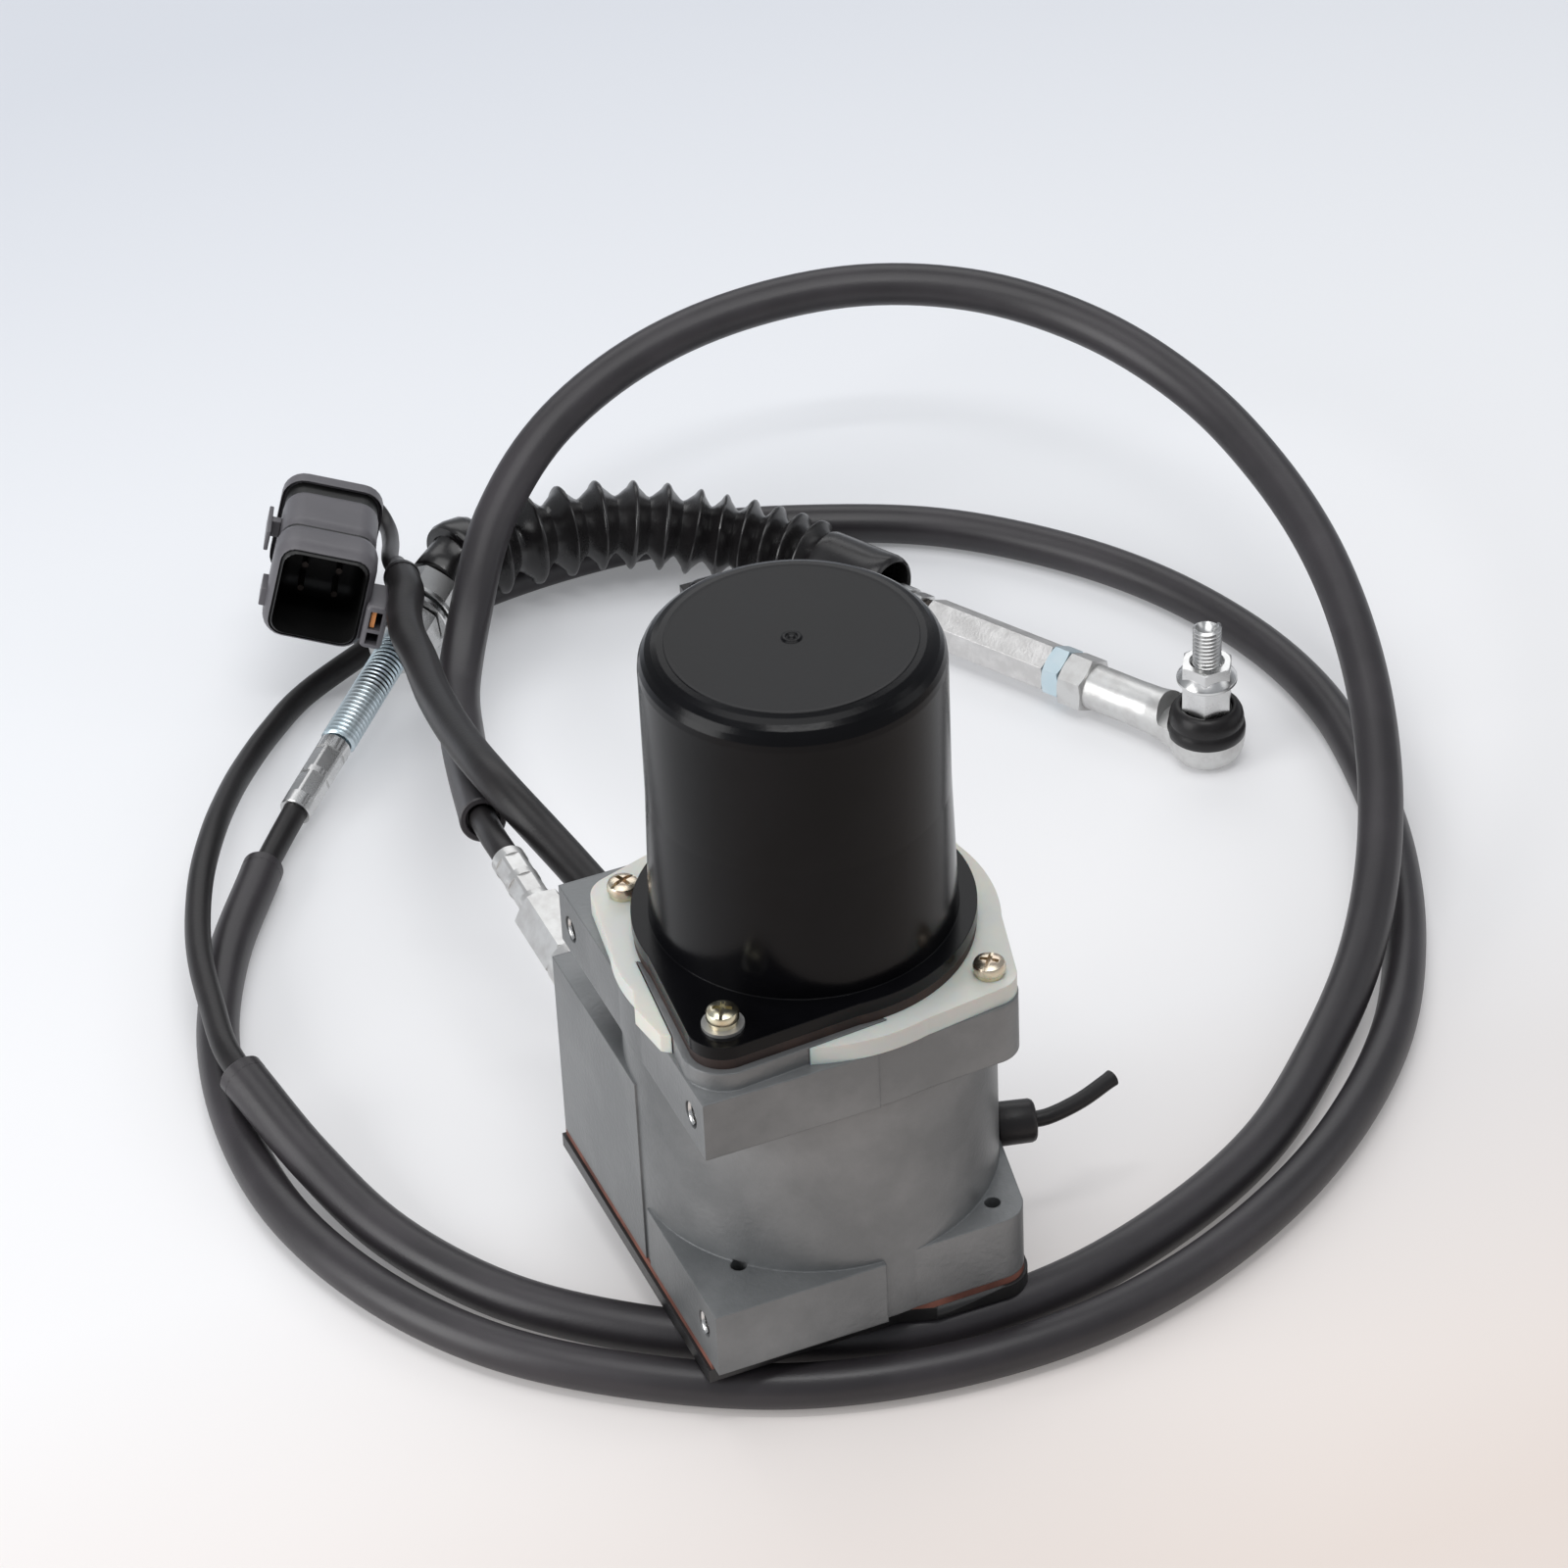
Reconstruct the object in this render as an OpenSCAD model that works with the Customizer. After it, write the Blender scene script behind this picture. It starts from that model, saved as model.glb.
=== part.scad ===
// Throttle motor: an electric motor and reduction gear in a die-cast housing, which
// moves a push-pull control cable with a ball-stud rod end, and its wiring connector.
// Millimetres. Origin on the motor axis at floor height, +Z up, the two lugs' front
// faces look along -Y, the mounting face with the three M8 holes looks along -X.

/* [Housing] */
// outer radius of the upright cylinder
body_r = 45.3; // [40:0.1:50]
// height of the casting's underside above the floor
body_z0 = 18.5; // [16.5:0.1:24]
// height of the casting's top face
body_z1 = 102.7; // [95:0.1:115]
// how far the mounting face stands beyond the cylinder
face_off = 0.5; // [0.2:0.1:3]
// how far the lugs' front faces stand beyond the cylinder
lug_off = 1.4; // [0.5:0.1:4]
// thickness of the top plate
plate_t = 16.5; // [14:0.5:18]
// height of the lower lug
lug_h = 18.4; // [16:0.1:20]
// wall thickness
wall = 3.3; // [2.8:0.1:4]
// spacing of the two upper M8 holes along Y
hole_dy = 77; // [70:1:80]
// height of the lower M8 hole
hole_z_low = 28.5; // [27:0.5:30]
// height of the upper M8 holes
hole_z_high = 94; // [93:0.5:95]

/* [Cover] */
// thickness of the nylon adapter plate
nylon_t = 5; // [4:0.5:6]
// thickness of the cover gasket
gasket_t = 3; // [2:0.5:4]
// thickness of the cover flange
flange_t = 3.5; // [3:0.5:5]
// radius of the cover at its foot
cover_r = 37; // [36.5:0.1:38]
// height of the cover's top
cover_top = 191.3; // [189:0.1:200]
// radius of the cover's top edge
cover_edge = 6.5; // [4:0.5:8]

/* [Gears] */
// module of the motor pinion and the wheel it drives
mod_1 = 1; // [1:0.25:1.5]
// module of the second stage
mod_2 = 1.2; // [1.2:0.1:1.5]
// module of the rack and its pinion
mod_3 = 1.4; // [1.2:0.1:1.6]
// teeth of both small pinions
teeth_p = 12; // [12:1:14]
// teeth of the first wheel
teeth_1 = 34; // [30:1:34]
// teeth of the output wheel
teeth_2 = 33; // [30:1:33]
// teeth of the rack pinion
teeth_3 = 20; // [18:1:22]
// running clearance of shafts and bores
fit = 0.03; // [0.02:0.01:0.08]

/* [Cable] */
// outside diameter of the first protective tube
tube_a_d = 12.2; // [11:0.1:13]
// outside diameter of the second protective tube
tube_b_d = 11.4; // [11:0.1:13]
// diameter of the cable's sheath
sheath_d = 7; // [6:0.1:8]
// diameter of the electric cable
wire_d = 10; // [8:0.5:11]
// width across flats of the conduit nuts
nut_af = 17; // [16:1:19]
// sides of every tube
sides = 10; // [8:1:12]

/* [Connector] */
// width of the connector shell
con_w = 29; // [26:0.5:32]
// height of the connector shell
con_h = 30.8; // [28:0.1:34]
// length of the connector shell
con_l = 46.8; // [40:0.1:50]

/* [Rod end] */
// diameter of the ball
ball_d = 13; // [12:0.5:14]
// radius of the eye
eye_r = 10.8; // [10:0.1:12]
// width across flats of the turnbuckle
turn_af = 12.5; // [11:0.5:14]

/* [Hidden] */
$fn = 64;
eps = 0.01;
face_x = -body_r - face_off;            // x of the mounting face
lug_y = -body_r - lug_off;              // y of the lugs' front faces
k_b = body_r / 45.3;                    // what grows with the cylinder
core_r = body_r - wall;                 // upper chamber
low_r = core_r - 3;                     // chamber below the carrier's ledge
deck_z = 90;                            // underside of the motor deck
ledge_z = 40;                           // the carrier plate rests here
box_top = 74;
box_y = 54.6;
box_x = 8;
in_x = face_x + 2.5;                    // inner faces of the box
in_y = 51.6;
in_top = 71;
z_nylon = body_z1 + nylon_t;
z_gasket = z_nylon + gasket_t;
z_flange = z_gasket + flange_t;
// screws: two on the cover's ears, two on the nylon plate
cover_pts = k_b * [[-35.1, -34.4], [34, 34]];
nylon_pts = k_b * [[-34.8, 29.5], [31.7, -36.5]];
base_pts = [k_b * [-33.5, -31.5], k_b * [30.9, -37], [face_x + 7.8, 48.5], k_b * [34, 34]];
carrier_pts = [[face_x + 9.8, 44], [core_r - 5.5, 0]];
head_r = 3.9;
ear_r = 8.65;
// gear centres: wheel one stands on the pin, wheel two on the output shaft
m_1 = mod_1 * k_b;
m_2 = mod_2 * k_b;
m_3 = mod_3 * k_b;
pr_p1 = m_1 * teeth_p / 2;
pr_1 = m_1 * teeth_1 / 2;
pr_p2 = m_2 * teeth_p / 2;
pr_2 = m_2 * teeth_2 / 2;
pr_3 = m_3 * teeth_3 / 2;
rack_x = face_x + 9.8;                  // pitch line of the rack
out_c = [rack_x + pr_3, 20];
c1 = pr_p1 + pr_1;
c2 = pr_p2 + pr_2;
out_d = norm(out_c);
mid_a = (c1 * c1 - c2 * c2 + out_d * out_d) / (2 * out_d);
mid_h = sqrt(c1 * c1 - mid_a * mid_a);
mid_c = [(out_c[0] * mid_a + out_c[1] * mid_h) / out_d,
         (out_c[1] * mid_a - out_c[0] * mid_h) / out_d];
th_1 = atan2(mid_c[1], mid_c[0]);
th_2 = atan2(out_c[1] - mid_c[1], out_c[0] - mid_c[0]);
rod_x = face_x + 7.3;                   // axis of the cable's fitting
rod_z = 66;
motor_r = 33;
shaft_r = 4;
pin_r = 3;

// cable routes, chosen by hand in round numbers
way_a = [[rod_x + 3.1, 134.4, 59.3], [-27.4, 166.5, 48.4], [-18.7, 198.3, 37.6], [-8.8, 229.4, 29.6],
         [5.6, 258.9, 30.5], [23.3, 284.4, 42], [47.2, 301.2, 55.6], [78.1, 310.9, 65.7],
         [111.9, 312.3, 71.9], [146.9, 304.8, 74.7], [177.6, 286.6, 74], [201.3, 260.2, 69.4],
         [216, 228, 63], [221.5, 194, 56.7], [221, 159, 50], [214.5, 123.9, 42.1], [204, 92, 32],
         [188.7, 61.6, 22.4], [168.6, 33.9, 13.4], [143, 9, 7], [115.3, -14.2, 6.3],
         [82.8, -30.7, 6.3], [47.3, -40.5, 6.3], [11.1, -40.5, 6.3], [-23.1, -28.6, 6.3],
         [-53.4, -9.5, 6.3], [-78.5, 15.6, 6.3], [-96, 47, 7.2], [-105.9, 78.7, 11.2],
         [-113.1, 107.9, 18.4]];
way_b = [[-16, 291, 5.8], [19, 303, 5.8], [55, 307, 5.8], [91, 304, 5.8], [125, 292, 5.8],
         [156.7, 274.3, 5.8], [183, 248, 5.8], [202, 218, 5.8], [214, 183, 5.8], [217.3, 147.7, 5.8],
         [212, 111, 5.8], [202, 76, 5.8], [187, 43, 5.8], [167, 12, 5.8], [141, -14, 5.8],
         [112, -34, 5.8], [78, -49, 5.8], [43, -56, 5.8], [6, -54, 5.8], [-28.4, -44, 5.8],
         [-60.1, -24.8, 5.8], [-86.6, -0.6, 5.8], [-105.4, 30.1, 5.8], [-116.5, 66.2, 5.8],
         [-117.8, 103.4, 5.8], [-111, 140.3, 5.8], [-96.8, 173.9, 5.8], [-77.4, 204.2, 5.8]];
way_s1 = [[rod_x, 106, 66], [rod_x, 110, 66], [rod_x + 0.5, 117.5, 64.6], [rod_x + 1.8, 127, 61.9],
          [rod_x + 3.4, 137, 58.5]];
way_s2 = [[-112.2, 104.1, 17.4], [-113.9, 121, 19], [-111.3, 140.5, 18.2], [-107.9, 160.3, 17.5],
          [-102.8, 178.7, 16.5], [-95.1, 198.5, 15.9], [-85.4, 218, 14], [-75.5, 235.8, 10.4],
          [-65.9, 250.8, 7.1], [-53.3, 266.2, 5], [-37.8, 280.2, 4.2], [-12, 292.4, 5.8]];
way_s3 = [[-79.5, 201.2, 5.8], [-68.8, 214.8, 6.2], [-60.3, 224.9, 7]];
way_e = [[-20, 66, 60], [-20.5, 84, 61], [-23, 98, 63.3], [-26.1, 111.2, 66], [-31.4, 133.7, 70.4],
         [-30, 164.5, 63], [-26, 196.2, 54.2], [-21.1, 222.6, 47.5], [-18.7, 239.6, 44.6],
         [-14.8, 253.9, 41.6], [-10, 265.5, 39.6], [-7.5, 277, 36.7]];
way_l = [[-8, 274, 37.4], [-5.8, 292, 32.5], [0, 309.5, 26], [3, 321, 23.5], [2, 329, 26],
         [-4, 333, 30.5], [-10, 329.5, 34.2], [-14, 321, 36.3], [-17, 312.5, 37.6]];
way_v = [for (q = [[51.1, -13.5, 37.5], [57, -14.2, 37.5], [66, -12.8, 38], [75, -10, 39]])
         q + (body_r - 45.3) * [0.9668, -0.2554, 0]];
way_bel = [[8.2, 291.7, 22.8], [15, 296.4, 23.8], [25, 297.4, 23.6], [37, 298, 23.2],
           [49, 298.3, 22.4], [60, 297.2, 21.8], [70, 294.7, 20.4], [79.5, 291.4, 18.6],
           [89, 287, 16], [98, 281.4, 14], [106, 274.4, 12.3], [112.5, 266.5, 11],
           [118, 256.6, 10.2], [123.7, 244.8, 9.6], [129.9, 233.4, 9.5]];
way_core = [[8.2, 291.7, 22.8], [15, 296.4, 23.8], [25, 297.4, 23.6], [37, 298, 23.2],
            [49, 298.3, 22.4], [60, 297.2, 21.8], [70, 294.7, 20.2], [79.5, 291.4, 17.6],
            [89, 287, 14], [97.5, 281.4, 11.3], [104.5, 275, 9.8], [109.7, 268, 9.5],
            [127.3, 237.75, 9.5]];

// the conduit's start, and its heading and climb
con_at = [-60.3, 224.9, 7];
con_turn = [0, 80.6, 44.3];
// the rod end's eye, and the rod's heading from it back towards the cable
eye_at = [180.3, 147.1, 9.5];
rod_turn = [0, -90, -59.71];
// the connector's mouth centre and attitude
plug_at = [-35.4, 266.5, 44];
plug_turn = [-7.63, 15.43, -23.72];

// ---- helpers
function pol(r, a) = [r * cos(a), r * sin(a)];
// four corners that join a circle at the origin to a smaller one at p
function web(rr, p, r) = let (d = norm(p), a = atan2(p[1], p[0]), b = acos((rr - r) / d), k = 0.996)
    [pol(rr * k, a + b), p + pol(r * k, a + b), p + pol(r * k, a - b), pol(rr * k, a - b)];
module ear(rr, p, r, h) {
    translate([p[0], p[1], 0]) cylinder(r = r, h = h, $fn = 48);
    linear_extrude(h) polygon(web(rr, p, r));
}
module rounded(w, h, r) {
    square([w - 2 * r, h], center = true);
    square([w, h - 2 * r], center = true);
    for (x = [-1, 1], y = [-1, 1]) translate([x * (w / 2 - r), y * (h / 2 - r)]) circle(r = r, $fn = 32);
}
// involute tooth outline: half angle of a tooth at radius r
function inv(a) = tan(a) * 180 / PI - a;
function flank(m, z, r, slack) = let (rb = m * z / 2 * cos(20), q = max(r, rb + 0.001))
    90 / z - slack / (m * z / 2) * 90 / PI + inv(20) - inv(acos(rb / q));
function tooth_pts(m, z, add, ded, slack) =
    let (ra = m * z / 2 + add * m, rf = m * z / 2 - ded * m, rb = m * z / 2 * cos(20), r1 = max(rb, rf + 0.05),
         rs = [rf, r1, r1 + (ra - r1) * 0.35, r1 + (ra - r1) * 0.7, ra])
    [for (k = [0:z - 1]) for (s = [0:9]) let (q = s < 5 ? s : 9 - s, a = flank(m, z, rs[q], slack))
        pol(rs[q], k * 360 / z + (s < 5 ? -a : a))];
module gear(m, z, h, add = 0.78, slack = 0.1) linear_extrude(h) polygon(tooth_pts(m, z, add, 1.2, slack));
// tube along a route: rings stand square to the route, radius given per ring
function way_dir(p, i) = let (n = len(p) - 1, v = p[min(i + 1, n)] - p[max(i - 1, 0)]) v / norm(v);
function ring_pt(p, i, r, a) = let (t = way_dir(p, i), s = cross(t, [0, 0, 1]), u = s / norm(s), w = cross(u, t))
    p[i] + r * (cos(a) * u + sin(a) * w);
module hose(p, r, n = sides) {
    k = len(p);
    polyhedron(
        [for (i = [0:k - 1]) for (j = [0:n - 1]) ring_pt(p, i, r, j * 360 / n + 90)],
        concat([[for (j = [0:n - 1]) j]], [[for (j = [n - 1:-1:0]) (k - 1) * n + j]],
            [for (i = [0:k - 2]) for (j = [0:n - 1]) let (a = i * n + j, b = i * n + (j + 1) % n) [a, a + n, b]],
            [for (i = [0:k - 2]) for (j = [0:n - 1]) let (a = i * n + j, b = i * n + (j + 1) % n) [a + n, b + n, b]]));
}
// points between the bellows' route points, four to each fold
function along(p, t) = let (n = len(p) - 1, i = min(floor(t * n), n - 1), f = t * n - i,
    a = p[max(i - 1, 0)], b = p[i], c = p[i + 1], d = p[min(i + 2, n)])
    b + f * (c - a) / 2 + f * f * (2 * a - 5 * b + 4 * c - d) / 2 + f * f * f * (3 * b - a - 3 * c + d) / 2;

// ---- housing and covers
module outline_top(h) {
    cylinder(r = body_r + 1, h = h, $fn = 96);
    translate([face_x, lug_y, 0]) cube([-1.4 - face_x, body_r + 0.2 - lug_y, h]);
    ear(body_r + 0.7, k_b * [30.9, -36.5], 7.5, h);
    ear(body_r + 0.7, k_b * [34, 34], 9, h);
}
module outline_low(h, grow = 0) {
    cylinder(r = body_r + grow, h = h, $fn = 96);
    translate([face_x - grow, lug_y - grow, 0]) cube([-1.4 - face_x + 2 * grow, 46 + 2 * grow, h]);
    translate([face_x - grow, -2, 0]) cube([box_x - face_x + 2 * grow, box_y + 2 + grow, h]);
    ear(body_r - 0.3, base_pts[1], 7.5 + grow, h);
    ear(body_r - 0.3, base_pts[3], 7.5 + grow, h);
}
module pad(h, more = 0) difference() {
    ear(body_r - 3.3 + more, cover_pts[0], 10.3 + more, h);
    translate([0, 0, -1]) cylinder(r = body_r - 5.3 - more, h = h + 2, $fn = 96);
}
module holes(pts, r, h) for (p = pts) translate([p[0], p[1], -1]) cylinder(r = r, h = h + 2, $fn = 24);
module m8_hole(y, z) translate([face_x, y, z]) rotate([0, 90, 0]) {
    translate([0, 0, -eps]) cylinder(r = 3.4, h = 13);
}
module housing() color([0.60, 0.62, 0.63]) difference() {
    union() {
        difference() {
            union() {
                translate([0, 0, body_z0]) cylinder(r = body_r, h = body_z1 - body_z0, $fn = 96);
                translate([0, 0, body_z1 - plate_t]) outline_top(plate_t);
                translate([0, 0, body_z1 - eps]) pad(nylon_t + eps);
                translate([face_x, lug_y, body_z0]) cube([-1.4 - face_x, 44, lug_h]);
                translate([face_x, 0, body_z0]) cube([box_x - face_x, box_y, box_top - body_z0]);
                translate([0, 0, body_z0]) {
                    ear(body_r - 0.3, base_pts[1], 7.5, lug_h);
                    ear(body_r - 0.3, base_pts[3], 7.5, lug_h);
                }
            }
            translate([0, 0, ledge_z]) cylinder(r = core_r, h = deck_z - ledge_z, $fn = 96);
            translate([0, 0, body_z0 - 1]) cylinder(r = low_r, h = ledge_z - body_z0 + 2, $fn = 96);
            translate([in_x, 2.5, body_z0 - 1]) cube([5 - in_x, in_y - 2.5, in_top - body_z0 + 1]);
            translate([in_x, -8, 61]) cube([13, 20, in_top - 61]);
        }
        // the carrier's two posts
        translate([face_x + 0.8, 37, body_z0]) cube([13, 16, ledge_z - body_z0]);
        translate([core_r - 5.5, 0, body_z0]) cylinder(r = 5, h = ledge_z - body_z0);
    }
    m8_hole(-hole_dy / 2, hole_z_low);
    for (s = [-1, 1]) m8_hole(s * hole_dy / 2, hole_z_high);
    // motor deck: end bell's hub, gear pin and the output shaft's bush
    translate([0, 0, deck_z - 1]) cylinder(r = 15.2, h = 20);
    translate(concat(mid_c, deck_z - 1)) cylinder(r = pin_r, h = 9);
    translate(concat(out_c, deck_z - 1)) cylinder(r = 5.5, h = 9);
    for (p = cover_pts) translate([p[0], p[1], 94]) cylinder(r = 2, h = 20);
    for (p = nylon_pts) translate([p[0], p[1], 94]) cylinder(r = 2, h = 20);
    for (p = base_pts) translate([p[0], p[1], body_z0 - 1]) cylinder(r = 2, h = p[1] > 40 ? 8 : 20);
    for (p = carrier_pts) translate([p[0], p[1], 31]) cylinder(r = 1.5, h = 10);
    // cable fitting, gland and vent through the walls
    translate([rod_x, 50, rod_z]) rotate([-90, 0, 0]) cylinder(r = 4.7, h = 6);
    translate([-20, 50, 60]) rotate([-90, 0, 0]) cylinder(r = 6, h = 6);
    rotate([0, 0, -14.8]) translate([body_r - 7.3, 0, 37.5]) rotate([0, 90, 0]) cylinder(r = 3, h = 12);
}
module base_gasket() color([0.16, 0.13, 0.12]) translate([0, 0, body_z0 - 2]) difference() {
    union() outline_low(2);
    translate([0, 0, -1]) cylinder(r = low_r, h = 4, $fn = 96);
    translate([in_x, 2.5, -1]) cube([5 - in_x, 34.5, 4]);
    holes(base_pts, 2.2, 2);
}
module base_cover() color([0.10, 0.10, 0.11]) difference() {
    union() {
        translate([0, 0, body_z0 - 6]) outline_low(4, 0.8);
        cylinder(r = 25, h = 13);
        translate([-38, 0, 0]) cube([58, 44, 13]);
    }
    translate([0, 0, 2.5]) cylinder(r = 22.5, h = 20);
    translate([-35.5, 2.5, 2.5]) cube([53, 39, 20]);
    for (p = base_pts) translate([p[0], p[1], 10]) cylinder(r = 2.2, h = 10, $fn = 24);
    for (p = base_pts) translate([p[0], p[1], 10]) cylinder(r = 4.2, h = body_z0 - 13.5, $fn = 32);
    for (p = [base_pts[2]]) translate([p[0], p[1], -1]) cylinder(r = 4.4, h = 13.5, $fn = 24);
}
module cross_screw(p, z, h, l, r = head_r) translate([p[0], p[1], z]) {
    difference() {
        union() {
            cylinder(r = r, h = h * 0.6, $fn = 32);
            translate([0, 0, h * 0.6]) cylinder(r1 = r, r2 = r * 0.72, h = h * 0.4, $fn = 32);
        }
        translate([-0.5, -r, h - 1]) cube([1, 2 * r, 2]);
        translate([-2.4, -0.5, h - 1.6]) cube([4.8, 1, 3]);
    }
    translate([0, 0, -l]) cylinder(r = r > 3 ? 2 : 1.5, h = l + eps, $fn = 24);
}
module base_screws() color([0.75, 0.75, 0.72]) for (p = base_pts)
    translate([p[0], p[1], body_z0 - 3.5]) mirror([0, 0, 1]) cross_screw([0, 0], 0, 2.5, 9);
module adapter_plate() color([0.86, 0.87, 0.84]) translate([0, 0, body_z1]) difference() {
    union() {
        cylinder(r = body_r + 1.7, h = nylon_t, $fn = 96);
        ear(body_r + 1.5, nylon_pts[0], 8, nylon_t);
        ear(body_r + 1.5, nylon_pts[1], 6.5, nylon_t);
        ear(body_r + 1.5, cover_pts[1], 9, nylon_t);
        linear_extrude(nylon_t) polygon(k_b * [[-20, 0], [-46.5, -6], [-48.6, -12], [-47, -24], [-40, -30], [-20, -20]]);
    }
    translate([0, 0, -1]) pad(nylon_t + 2, 0.3);
    translate([0, 0, -1]) cylinder(r = motor_r + 0.2, h = nylon_t + 2, $fn = 96);
    holes(nylon_pts, 2.2, nylon_t);
    holes([cover_pts[1]], 2.2, nylon_t);
}
module flange(h, grow = 0) {
    cylinder(r = body_r - 4 + grow, h = h, $fn = 96);
    for (p = cover_pts) ear(body_r - 4.3 + grow, p, ear_r + grow, h);
}
module cover_gasket() color([0.15, 0.12, 0.11]) translate([0, 0, z_nylon]) difference() {
    union() flange(gasket_t, -0.3);
    translate([0, 0, -1]) cylinder(r = 34.6, h = gasket_t + 2, $fn = 96);
    holes(cover_pts, 2.3, gasket_t);
}
module motor_cover() color([0.06, 0.06, 0.07]) difference() {
    union() {
        translate([0, 0, z_gasket]) flange(flange_t);
        rotate_extrude($fn = 96) polygon(concat(
            [[0, z_gasket], [cover_r, z_gasket], [cover_r, z_flange], [36, 150]],
            [for (a = [0:15:90]) [36 - cover_edge + cover_edge * cos(a), cover_top - cover_edge + cover_edge * sin(a)]],
            [[0, cover_top]]));
        translate([-12.6, 20, z_gasket + 1]) cube([19.7, 18, 186 - z_gasket - 1]);
    }
    translate([0, 0, z_gasket - 1]) rotate_extrude($fn = 96) polygon([[0, 0], [34.4, 0], [34.4, 50],
        [34, 73], [33, 76.5], [31, 78.5], [28, 79.1], [0, 79.1]]);
    for (p = cover_pts) translate([p[0], p[1], z_gasket - 1]) cylinder(r = 2.3, h = 10, $fn = 24);
}
module cover_screws() color([0.80, 0.76, 0.62]) for (p = cover_pts)
    cross_screw(p, z_flange + 2.2, 3.2, 18);
module spring_washer(p, z, h) translate([p[0], p[1], z]) linear_extrude(h) difference() {
    circle(r = 3.5, $fn = 32);
    circle(r = 2.1, $fn = 32);
    translate([1, -0.4]) square([4, 0.8]);
}
module spring_washers() color([0.72, 0.70, 0.62]) {
    for (p = cover_pts) spring_washer(p, z_flange + 0.9, 1.3);
    for (p = nylon_pts) spring_washer(p, z_nylon, 1.2);
}
module flat_washers() color([0.82, 0.82, 0.82]) for (p = cover_pts) translate([p[0], p[1], z_flange])
    linear_extrude(0.9) difference() {
        circle(r = 5.1, $fn = 32);
        circle(r = 2.2, $fn = 32);
    }
module plate_screws() color([0.70, 0.62, 0.45]) for (p = nylon_pts)
    cross_screw(p, z_nylon + 1.2, 3.2, 14) ;

// ---- electric motor
module ring(ro, ri, h) difference() {
    cylinder(r = ro, h = h);
    translate([0, 0, -1]) cylinder(r = ri, h = h + 2);
}
module end_bell() color([0.72, 0.73, 0.74]) difference() {
    union() {
        translate([0, 0, body_z1]) cylinder(r = motor_r, h = 4);
        translate([0, 0, body_z1 + 4 - eps]) ring(motor_r - 2, 28.5, 6);
        translate([0, 0, 94]) cylinder(r = 15, h = 10);
    }
    translate([0, 0, 93]) cylinder(r = 11, h = 8);
    translate([0, 0, 93]) cylinder(r = 6, h = 20);
}
module motor_can() color([0.45, 0.46, 0.48]) difference() {
    union() {
        translate([0, 0, body_z1 + 4]) cylinder(r = motor_r, h = 76.3);
    }
    translate([0, 0, body_z1]) cylinder(r = motor_r - 2, h = 68.3);
    translate([0, 0, 160]) ring(motor_r - 2, 13, 21);
    translate([0, 0, 165]) cylinder(r = 11, h = 13);
}
module magnets() color([0.20, 0.20, 0.22]) for (a = [30, 210]) rotate([0, 0, a])
    rotate_extrude(angle = 120, $fn = 96) translate([25.5, 122]) square([5.5, 46]);
module brush_plate() color([0.45, 0.32, 0.18]) {
    translate([0, 0, body_z1 + 4]) ring(28.5, 12, 2);
    for (s = [0, 180]) rotate([0, 0, s]) translate([0, 0, body_z1 + 6 - eps]) difference() {
        translate([-4.6, 13, 0]) cube([9.2, 12, 10]);
        translate([-3, 12, 1.3]) cube([6, 14, 7]);
    }
}
module brushes() color([0.13, 0.13, 0.14]) for (s = [0, 180]) rotate([0, 0, s])
    translate([-2.95, 10 + fit, body_z1 + 7.34]) cube([5.9, 11, 6.9]);
module bearings() color([0.80, 0.81, 0.83]) {
    translate([0, 0, 94]) ring(11, shaft_r + fit, 7);
    translate([0, 0, 171]) ring(11, shaft_r + fit, 7);
}
module armature_core() color([0.50, 0.51, 0.53]) translate([0, 0, 125]) difference() {
    ring(24.5, shaft_r, 40);
    for (a = [0:30:330]) rotate([0, 0, a]) translate([14, -1.6, -1]) cube([12, 3.2, 42]);
}
module windings() color([0.72, 0.38, 0.16]) {
    translate([0, 0, 165]) ring(21, shaft_r, 5.5);
    translate([0, 0, 119.5]) ring(21, shaft_r, 5.5);
    for (a = [0:30:330]) rotate([0, 0, a]) translate([14, -1.6, 124]) cube([6.5, 3.2, 42]);
}
module commutator() color([0.75, 0.42, 0.20]) translate([0, 0, 109]) difference() {
    ring(10, shaft_r, 10.4);
    for (a = [0:30:330]) rotate([0, 0, a]) translate([8.8, -0.3, -1]) cube([3, 0.6, 10]);
}
module motor_shaft() color([0.82, 0.83, 0.85]) {
    translate([0, 0, 86]) cylinder(r = shaft_r, h = 91.5);
    translate([0, 0, 71]) cylinder(r = 3, h = 16);
}
module motor_pinion() color([0.78, 0.70, 0.45]) translate([0, 0, 73]) difference() {
    rotate([0, 0, th_1]) gear(m_1, teeth_p, 10, 1);
    translate([0, 0, -1]) cylinder(r = 3, h = 12);
}

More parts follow.
